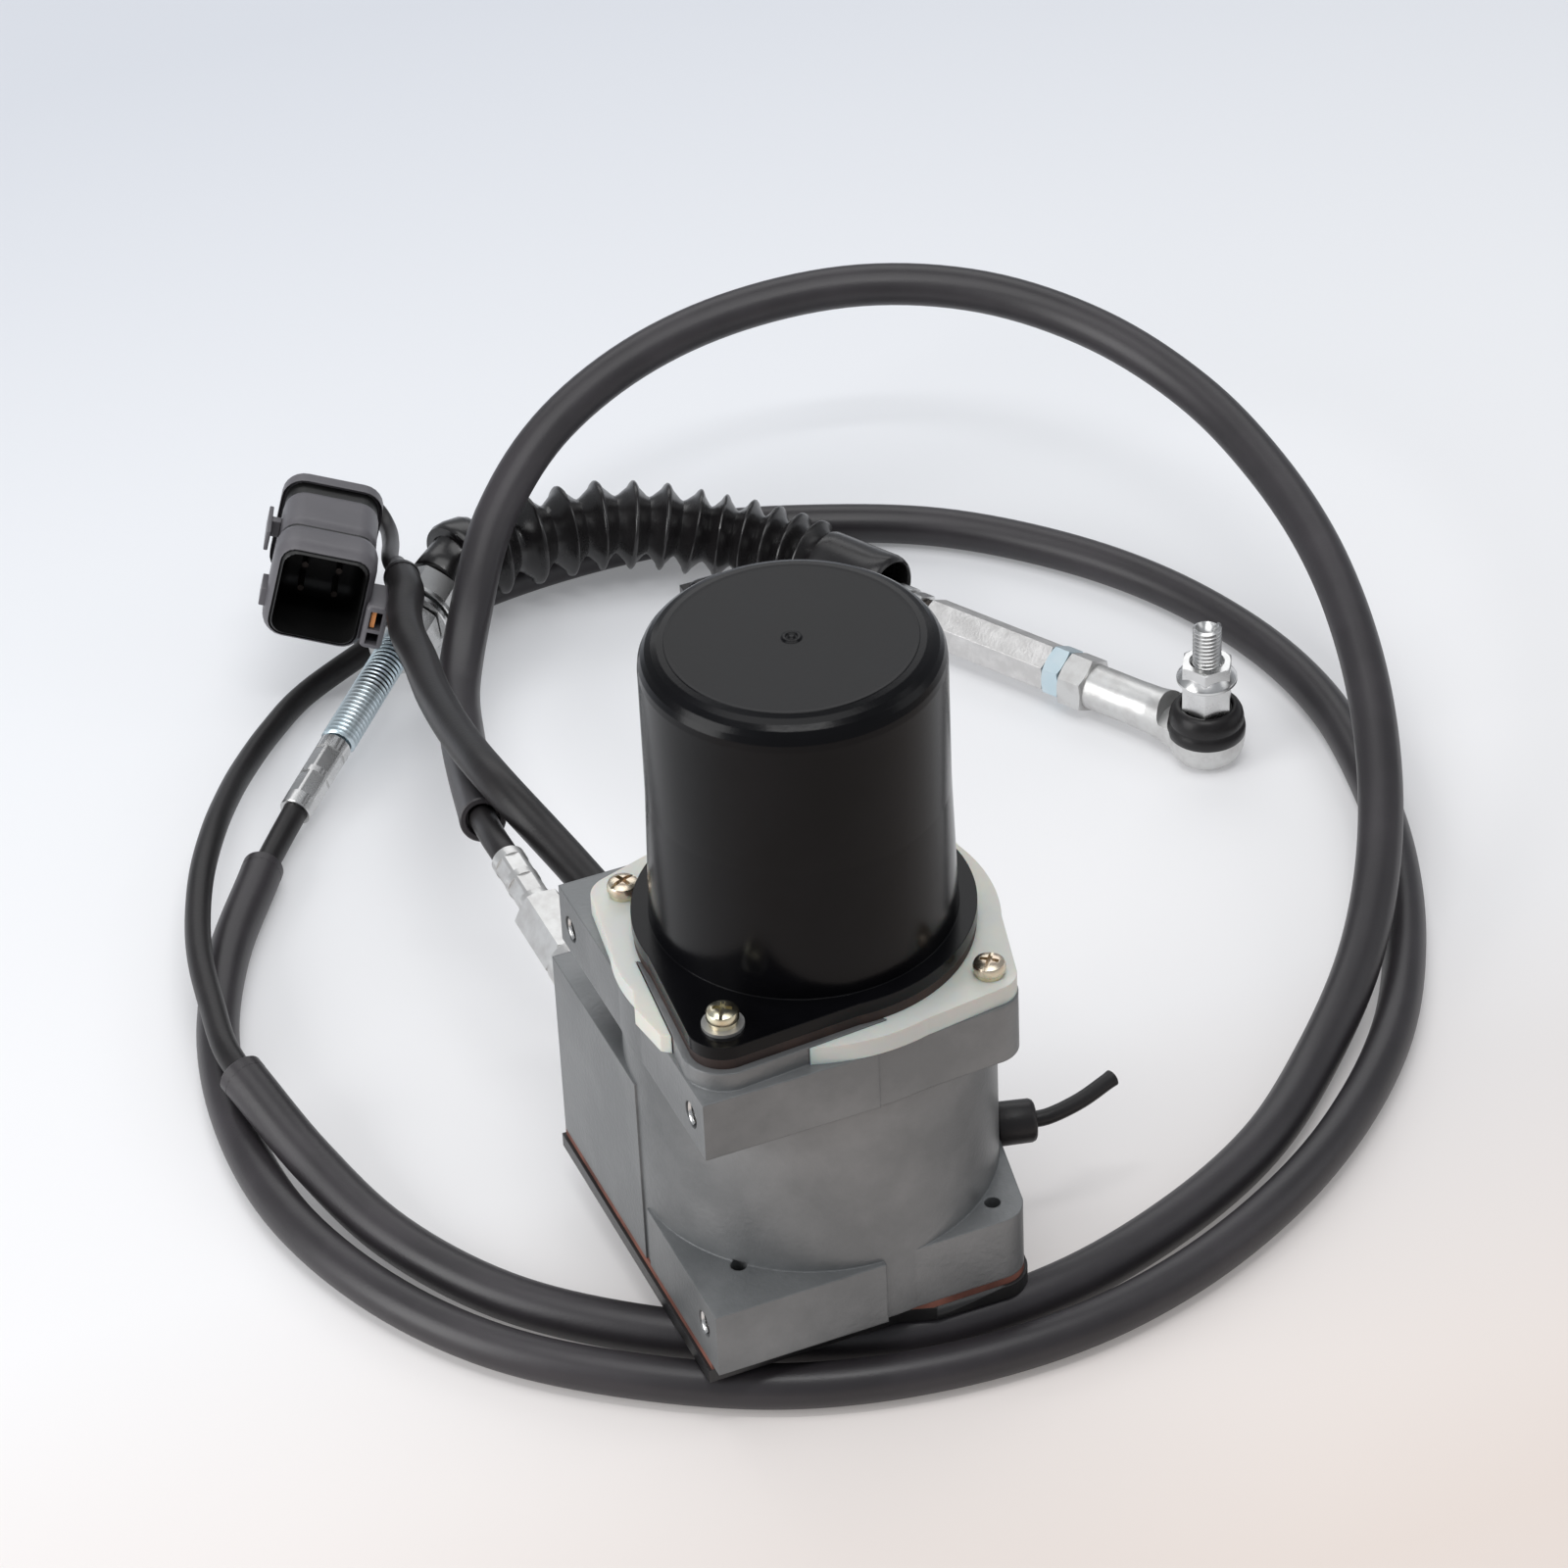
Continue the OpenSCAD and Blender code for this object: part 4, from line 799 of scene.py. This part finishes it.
DROP = Matrix.Translation((0, 0, -0.8 * MM))
eye = lathe([(0, -9.4), (6.0, -9.4), (7.8, -8.8), (9.3, -7.4), (10.3, -5.2), (10.8, -2.5), (10.8, 0.4),
             (10.3, 1.2), (0, 1.2)], EYE)
shank = lathe([(0, 2), (8.6, 7), (7.4, 12), (6.7, 17), (6.5, 24), (6.5, 38), (0, 38)], DROP @ ROD)
forging = blend_skin([eye, shank])
cut(forging, lathe([(0, 1.0), (13.4, 1.0), (13.9, 2.2), (13.9, 12), (0, 12)], EYE, 64))
rod_end = settle(forging, "rod_end_forging", "rod", soft_zinc, 50)
rod_hex = settle(hexagon(14.5, 37.6, 45.4, DROP @ ROD), "rod_end_flats", "rod", soft_zinc, 25)
for piece in (rod_end, rod_hex):
    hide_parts("rod_end")
print("rod end:", len(rod_end.data.polygons), "faces of forging")

# %% [markdown]
# ## The stud's boot
# A small rubber boot keeps grease in the ball joint. It sits on the eye, bulges over a
# groove and closes round the stud, all in one turned outline.

# %% Stud boot
boot = settle(lathe([(0, -0.9), (10.3, -0.9), (10.8, -0.5), (10.9, 1.0), (10.7, 2.4), (10.2, 3.0),
                     (10.3, 3.5), (10.4, 4.6), (10.1, 6.1), (9.4, 7.5), (8.5, 8.4), (7.6, 8.6),
                     (7.2, 8.2), (7.0, 7.4), (0, 7.4)], EYE, 64),
              "stud_boot_rubber", "rod", rubber, 60)
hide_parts("stud_boot")
print("boot:", boot.name)

# %% [markdown]
# ## The ball stud
# The stud is an M8 thread over a hexagon and a ball, and it spins freely in the eye, so
# its pieces ride on a body of their own. The thread starts inside the nut, where its
# lower end can't be seen. The flange nut is a turned skirt and a bored hexagon.

# %% The stud, its thread and its flange nut
STUD_R, STUD_PITCH, STUD_FROM, STUD_TURNS = 4, 1.25, 20, 11
STUD_TOP = 33.5
BALL_R, BALL_STEPS = 6.5, 24


def stud_thread():
    """The stud's thread, with a small pit where the mould meets its end."""
    rod = thread(STUD_R, STUD_PITCH, STUD_FROM, STUD_TURNS, EYE, 40)
    mould = lathe([(0, 19), (5, 19), (5, STUD_TOP - 1.6), (4.05, STUD_TOP - 1.1), (3.0, STUD_TOP - 0.05),
                   (1.6, STUD_TOP - 0.05), (1.0, STUD_TOP - 0.5), (0, STUD_TOP - 0.55)], EYE, 64)
    return cut(rod, mould, "INTERSECT")


def half_round(r, steps):
    """Points from the bottom of a ball to its top."""
    angles = [a * math.pi / steps for a in range(steps + 1)]
    return [(r * math.sin(a), -r * math.cos(a)) for a in angles]


stud_rod = settle(stud_thread(), "stud_thread_m8", "stud", zinc, 45)
stud_hex = settle(hexagon(13, 7.6, 16.9, EYE, (True, False)), "stud_flats", "stud", zinc, 25)
ball = settle(lathe(half_round(BALL_R, BALL_STEPS), EYE), "stud_ball", "stud", zinc, 60)
for piece in (stud_rod, stud_hex, ball):
    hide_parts("ball_stud")
flange = lathe([(4.05, 16.7), (8.0, 16.7), (8.4, 17.1), (8.4, 17.8), (8.1, 18.3), (7.2, 19.2), (6.6, 19.8),
                (4.05, 19.8), (4.05, 16.7)], EYE, 64)
stud_flange = settle(flange, "stud_nut_flange", "stud", zinc, 30)
nut = hexagon(13, 17.2, 23.0, EYE, (False, True))
cut(nut, lathe([(0, 16), (4.1, 16), (4.1, 22.0), (5.0, 23.1), (5.0, 24.5), (0, 24.5)], EYE))
stud_nut = settle(nut, "stud_nut_flats", "stud", zinc, 25)
for piece in (stud_flange, stud_nut):
    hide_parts("stud_nut")
print("stud:", len(stud_rod.data.polygons), "faces of thread")

# %% [markdown]
# ## Bars with rounded edges
# Moulded boxes start as a cube at its size and place. Every edge is bevelled in edit mode
# by one radius, so a box is soft all round, as a moulding is, and the radius is a number
# and not a guess. A bar with no radius is a plain block, for small parts and for cutters.

# %% Rounded bars
def rounded_bar(width, height, low, high, corner, place=Matrix(), middle=(0, 0), segments=6):
    bpy.ops.object.select_all(action="DESELECT")
    at = (middle[0] * MM, middle[1] * MM, (low + high) / 2 * MM)
    bpy.ops.mesh.primitive_cube_add(size=MM, location=at)
    bar = bpy.context.object
    bar.scale = (width, height, high - low)
    bpy.ops.object.transform_apply(location=True, rotation=True, scale=True)
    if corner:
        bpy.ops.object.mode_set(mode="EDIT")
        bpy.ops.mesh.select_all(action="SELECT")
        bpy.ops.mesh.bevel(offset=corner * MM, segments=segments, affect="EDGES")
        bpy.ops.object.mode_set(mode="OBJECT")
    bar.matrix_world = place
    return bar


def block(low, high, place=Matrix()):
    """A plain box between two corners."""
    size = [b - a for a, b in zip(low, high)]
    centre = [(a + b) / 2 for a, b in zip(low, high)]
    return rounded_bar(size[0], size[1], low[2], high[2], 0, place, centre[:2])


print("makers: rounded_bar, block")

# %% [markdown]
# ## The connector
# The plug is a moulded box: a wide mouth, a slightly narrower waist, a black seal and a rear cap. The mouth
# holds a black sheet that is painted shade, so that it reads as a deep dark socket. Each wall is a bar with
# a smaller bar cut out of it.

# %% Connector shell, lining and cap
CON_W, CON_H, CON_L = 29.0, 30.8, 46.8
SKIN, MOUTH_DEPTH, LIP = 1.4, 31.0, 2.3


def hollow(obj, wall, low, high, corner):
    """Cut a bar out of the shell that leaves a wall of this thickness."""
    return cut(obj, rounded_bar(CON_W - 2 * wall, CON_H - 2 * wall, low, high, corner, PLUG))


def plastic(obj, name, material=grey_plastic, smooth=30):
    return settle(obj, name, "actuator", material, smooth)


front = soften(rounded_bar(CON_W, CON_H, 0, 18, 6.4, PLUG), 0.7, 1)
plastic(hollow(front, SKIN, -1, 19, 5.0), "connector_front", smooth=20)
waist = rounded_bar(CON_W - 1.8, CON_H - 0.3, 14.0, 38.8, 6.0, PLUG)
cut(waist, rounded_bar(CON_W - 3.0, CON_H - 2 * SKIN, 13, MOUTH_DEPTH, 5.0, PLUG))
plastic(waist, "connector_waist")
seam = soften(rounded_bar(CON_W - 2.6, CON_H - 2.6, 38, 40.2, 5.2, PLUG), 0.3)
plastic(seam, "connector_seal", black_plastic_and_shade)
cap = plastic(soften(rounded_bar(CON_W, CON_H, 39.8, CON_L, 6.4, PLUG), 0.9), "connector_cap")
# A black sheet in the mouth, painted shade for the deep socket.
shade_lining = rounded_bar(CON_W - 2.6, CON_H - 2.6, -0.15, MOUTH_DEPTH, 5.1, PLUG)
hollow(shade_lining, LIP, -1, MOUTH_DEPTH - 1, 4.4)
plastic(soften(shade_lining, 0.35), "connector_lining", black_plastic_and_shade)
print("connector mouth:", CON_W - 2 * LIP, "by", CON_H - 2 * LIP, "mm")

# %% [markdown]
# ## Latch, clip and tab
# One flank carries a latch housing with two windows, and the other a spring clip on a
# short root and a tab below it. All are small blocks with softened edges, and they sink a
# little into the shell, as moulded features do.

# %% Latch, clip and tab
FLANK = CON_W / 2
latch = rounded_bar(6.4, 14, 0.4, 15, 1.6, PLUG, (FLANK + 2.2, 5.3), 3)
for low, high in ((0.4, 5.9), (7.0, 10.6)):
    cut(latch, block((FLANK + 0.5, low, -1), (FLANK + 3.9, high, 12), PLUG))
plastic(soften(latch, 0.35), "connector_latch")
clip_arm = plastic(soften(block((-FLANK - 2.9, -9.5, 17), (-FLANK - 1.7, -3.5, 33), PLUG), 0.3),
                   "connector_clip")
clip_root = plastic(soften(block((-FLANK - 2.4, -9, 25), (-FLANK + 0.9, -4, 28), PLUG), 0.3),
                    "connector_clip_root")
tab = plastic(soften(block((-FLANK - 1.5, 2, 5), (-FLANK + 0.5, 7.5, 14), PLUG), 0.3), "connector_tab")
connector = (front, waist, seam, cap, shade_lining, latch, clip_arm, clip_root, tab)
for piece in connector:
    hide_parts("connector_shell")
print("connector:", len(connector), "pieces")

# %% [markdown]
# ## Wedge and pins
# An orange wedge that locks the contacts shows through the latch's window, and six pins stand deep in the
# mouth, dark as painted shade. One pin is turned for each place, with a mesh of its own.

# %% Lock wedge and contact pins
wedge = soften(block((FLANK + 0.8, 0.6, 1.2), (FLANK + 2.2, 5.6, 10), PLUG), 0.2)
settle(wedge, "lock_wedge", "actuator", orange, 30)
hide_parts("connector_wedge")
PIN_COLUMNS, PIN_ROWS = (-4.8, 4.8), (-7.5, 0, 7.5)
pins = [lathe([(0, 20), (0.9, 20), (0.9, 29.5), (0.5, 30.5), (0, 30.5)],
              PLUG @ Matrix.Translation(Vector((x, y, 0)) * MM), 16)
        for x in PIN_COLUMNS for y in PIN_ROWS]
# The pins are dark as painted shade, deep in the dark mouth.
for k, pin in enumerate(pins):
    settle(pin, "contact_pin_%d" % (k + 1), "actuator", dark_iron_and_shade)
    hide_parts("contact_pins")
print("pins:", len(pins), "and", wedge.name)

# %% [markdown]
# ## Screws
# Four pan-head screws hold the cover and the plate. A turned dome gets a cross recess
# with a slot through it, cut with three small blocks, and each screw is turned in its own
# place, so that its slot points its own way.

# %% Pan-head screws
COVER_POINTS, PLATE_POINTS = ((-35.1, -34.4), (34, 34)), ((-34.8, 29.5), (31.7, -36.5))
COVER_SEAT, PLATE_SEAT = 116.4, 108.9
HEAD_R, HEAD_H = 3.95, 3.0


def pan_screw(name, point, seat, turn, material, shank):
    place = frame_of((*point, seat), (0, 0, turn))
    head = lathe([(0, -shank), (2, -shank), (2, 0), (3.75, 0), (HEAD_R, 0.25), (HEAD_R, 1.5), (3.6, 2.3),
                  (2.8, 2.75), (1.6, HEAD_H), (0, HEAD_H + 0.05)], place)
    cut(head, block((-2.3, -0.55, 1.6), (2.3, 0.55, 4), place))
    cut(head, block((-0.55, -2.3, 1.6), (0.55, 2.3, 4), place))
    cut(head, block((-5, -0.4, 2.15), (5, 0.4, 4), place))
    return settle(head, name, "actuator", material, 30)


screws = []
for k, point in enumerate(COVER_POINTS):
    piece = pan_screw("cover_screw_%d" % (k + 1), point, COVER_SEAT, 62 + 47 * k, yellow_zinc,
                      18)
    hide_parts("cover_screws")
    screws.append(piece)
for k, point in enumerate(PLATE_POINTS):
    piece = pan_screw("plate_screw_%d" % (k + 1), point, PLATE_SEAT, 20 + 31 * k, bronze_zinc,
                      14)
    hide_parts("plate_screws")
    screws.append(piece)
print("screws:", len(screws))

# %% [markdown]
# ## The housing's threaded holes
# Three M8 holes open in the mounting face. The casting already has the holes, so only the
# screw turns are missing, and they matter, because in the photograph they catch the light.
# A toothed line climbs round the hole's axis, and Solidify gives the turns a little depth.

# %% Thread the holes
HOLES = ((-38.5, 28.5), (-38.5, 94.0), (38.5, 94.0))
BORE_R, BORE_DEPTH, PITCH = 3.4, 13.0, 1.25


def inner_thread(place):
    """The turns seen in a hole: a tube whose inside climbs like a screw."""
    turns = int(BORE_DEPTH / PITCH) - 1
    line = draw_line([(BORE_R, 0, 0.3), (BORE_R - 0.45, 0, 0.3 + 0.42 * PITCH),
                      (BORE_R - 0.45, 0, 0.3 + 0.58 * PITCH), (BORE_R, 0, 0.3 + PITCH)])
    m = line.modifiers.new("turns", "SCREW")
    m.axis, m.angle, m.screw_offset, m.iterations = "Z", TURN, PITCH * MM, turns
    m.steps = m.render_steps = 32
    m.use_merge_vertices, m.merge_threshold = True, 0.001 * MM
    bake(line, m)
    w = line.modifiers.new("wall", "SOLIDIFY")
    w.thickness, w.offset = 0.1 * MM, 0
    bake(line, w)
    line.matrix_world = place
    return line


for k, (y, z) in enumerate(HOLES):
    turns = settle(inner_thread(frame_of((FACE_X, y, z), FACE_OUT)), "hole_thread_%d" % (k + 1), "actuator",
                   zinc, 60)
print("housing:", len(HOLES), "threaded holes")

# %% [markdown]
# ## The base pan under the lug
# The pan and its gasket stop short of the front lug, whose lower edge shows bare metal,
# and their rim thins out towards it. Copies of both parts are merged and trimmed with two
# blocks, the second turned a little for the taper, and the solids stay as they are.

# %% Trim the base pan
RIM_END, RIM_TAPER = Vector((3.2, -42.0, 0)), -18.4
RIM_LOW, RIM_HIGH = 10, 19


def copy_of(node):
    obj = nodes[node].copy()
    obj.data = nodes[node].data.copy()
    bpy.context.scene.collection.objects.link(obj)
    return tidy_mesh(obj)


taper = Matrix.Translation(RIM_END * MM) @ Matrix.Rotation(math.radians(RIM_TAPER), 4, "Z")
for node, name, material, slot in (("base_cover", "base_pan", black_paint, "black_paint"),
                                   ("base_gasket", "base_red_gasket", red_tint, "gasket")):
    trimmed = cut(copy_of(node), block((-60, -60, RIM_LOW), (RIM_END.x, RIM_END.y, RIM_HIGH)))
    cut(trimmed, block((0, -60, RIM_LOW), (60, 0, RIM_HIGH), taper))
    settle(trimmed, name, "actuator", material, 30)
    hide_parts(node)
    print(name, "trimmed to", len(trimmed.data.polygons), "faces")

# %% [markdown]
# ## The cover's crown
# The moulded cover shows where it was made: a small gate mark in the middle of its top, a
# faint ring where the mould's core met its wall, and a flat boss down its back. The crown
# is a thin turned disc over the cover's top, and the boss a softened bar.

# %% Gate mark and boss
BOSS_W, BOSS_DEEP, BOSS_LOW, BOSS_HIGH, BOSS_AT = 21, 12, 116, 187.5, (-1.5, 33.2)
gate_mark = [(0, 191.8), (0.5, 191.8), (1.1, 191.42), (1.6, 191.7), (2.0, 191.7), (2.6, 191.38)]
outer_ring = [(28.6, 191.36), (29.0, 191.42), (29.5, 191.42), (29.9, 191.1), (0, 191.1)]
crown = settle(lathe(gate_mark + outer_ring, steps=96), "cover_crown", "actuator", cover_black,
               20)
boss = soften(rounded_bar(BOSS_W, BOSS_DEEP, BOSS_LOW, BOSS_HIGH, 4, middle=BOSS_AT), 2.2, 4)
settle(boss, "cover_boss", "actuator", cover_black, 30)
print("cover:", crown.name, boss.name)

# %% [markdown]
# ## The vent
# A rubber grommet plugs the wall and holds a short breather hose. It is one turned
# outline with a rounded front edge and a sunk face round the hose.

# %% Vent grommet
grommet = lathe([(0, 42.2), (3, 42.2), (3, 45.3), (5.4, 45.3), (5.6, 45.8), (5.5, 53.6), (5.1, 54.5),
                 (4.4, 54.9), (3.1, 54.9), (2.6, 54.3), (0, 54.3)], VENT)
settle(grommet, "vent_bush", "actuator", rubber, 50)
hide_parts("vent_grommet")
print("vent:", grommet.name)

# %% [markdown]
# ## The cords' routes
# The cords are the curves laid above, each on its route. The length is measured on the route itself.


print("cord routes: A, S2, B, E and L")

# %% [markdown]
# ## The floor
# The floor is pale and runs from bluish at the top to warm white at the bottom. A colour ramp along the
# floor's own Y gives that, as painted light: the fall-off and tint of the light across the floor. A little
# emission is a painted glow of a lit table, and it keeps the floor pale without more light on the object.

# %% Floor
# The ramp's colours are painted light, the fall-off and tint of the light across the floor, and the floor's
# glow is a painted glow of a lit table.
FLOOR_SIZE, FLOOR_PAINTED_GLOW = 6, 0.28
FLOOR_FROM, FLOOR_TO = -0.7, 0.15
FLOOR_TONE_AND_FALLOFF = ((0.06, (0.62, 0.555, 0.515, 1)), (0.30, (0.70, 0.695, 0.70, 1)),
                 (0.60, (0.67, 0.68, 0.70, 1)), (1.0, (0.56, 0.58, 0.62, 1)))


def floor_material():
    m = bpy.data.materials.new("pale floor with painted light")
    m.use_nodes = True
    tree, wires = m.node_tree.nodes, m.node_tree.links
    shader = tree["Principled BSDF"]
    shader.inputs["Roughness"].default_value = 0.9
    shader.inputs["Specular IOR Level"].default_value = 0.1
    place = tree.new("ShaderNodeTexCoord")
    split = tree.new("ShaderNodeSeparateXYZ")
    wires.new(place.outputs["Object"], split.inputs["Vector"])
    far = tree.new("ShaderNodeMapRange")
    far.inputs["From Min"].default_value, far.inputs["From Max"].default_value = FLOOR_FROM, FLOOR_TO
    wires.new(split.outputs["Y"], far.inputs["Value"])
    ramp = tree.new("ShaderNodeValToRGB")
    wires.new(far.outputs["Result"], ramp.inputs["Fac"])
    stops = ramp.color_ramp.elements
    stops[0].position, stops[0].color = FLOOR_TONE_AND_FALLOFF[0]
    stops[1].position, stops[1].color = FLOOR_TONE_AND_FALLOFF[-1]
    for position, colour in FLOOR_TONE_AND_FALLOFF[1:-1]:
        stops.new(position).color = colour
    wires.new(ramp.outputs["Color"], shader.inputs["Base Color"])
    # Emission makes the floor glow, a painted glow though it is no lamp.
    wires.new(ramp.outputs["Color"], shader.inputs["Emission Color"])
    shader.inputs["Emission Strength"].default_value = FLOOR_PAINTED_GLOW
    return m


bpy.ops.object.select_all(action="DESELECT")
bpy.ops.mesh.primitive_plane_add(size=FLOOR_SIZE, location=(0, 0.5, -0.0002))
floor = bpy.context.object
floor.name = "floor"
floor.data.materials.append(floor_material())
floor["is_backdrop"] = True
print("floor:", FLOOR_SIZE, "m wide")

# %% [markdown]
# ## The lamps
# Large soft boxes light the part from above, behind and both sides, so there are hardly
# any shadows, and a narrow strip puts the bright arc on the cover's rim. The world fills
# in what is left.

# %% Lamps and world
ROOM_COLOUR, ROOM_LIGHT = (0.92, 0.95, 1.0, 1), 0.37


def add_lamp(name, place, target, size, power):
    data = bpy.data.lights.new(name, "AREA")
    data.shape, data.size, data.size_y = "RECTANGLE", size[0], size[1]
    data.energy = power
    lamp = bpy.data.objects.new(name, data)
    lamp.location = place
    lamp.rotation_euler = (Vector(target) - Vector(place)).to_track_quat("-Z", "Y").to_euler()
    bpy.context.scene.collection.objects.link(lamp)


add_lamp("top box", (-0.05, 0.05, 1.4), (0, 0.1, 0), (1.2, 0.9), 6.5)
add_lamp("back box", (0.45, 1.25, 1.0), (0, 0.1, 0.1), (1.5, 0.8), 5)
add_lamp("rim strip", (-0.08, -0.26, 1.0), (0, 0, 0.19), (0.42, 0.05), 1.6)
add_lamp("left box", (-1.35, 0.0, 0.55), (0, 0.1, 0.08), (0.8, 1.2), 14)
add_lamp("right box", (1.4, -0.5, 0.8), (0, 0.1, 0.08), (0.7, 1.2), 2.2)
world = bpy.data.worlds.new("room")
bpy.context.scene.world = world
world.use_nodes = True
air = world.node_tree.nodes["Background"]
air.inputs["Color"].default_value = ROOM_COLOUR
air.inputs["Strength"].default_value = ROOM_LIGHT
print("lamps:", len(bpy.data.lights))

# %% [markdown]
# ## Measure and finish
# The last cell measures the whole visual model and prints its size.

# %% Sizes and finish
low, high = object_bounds()
print("visual box", [round(v, 4) for v in low], [round(v, 4) for v in high])
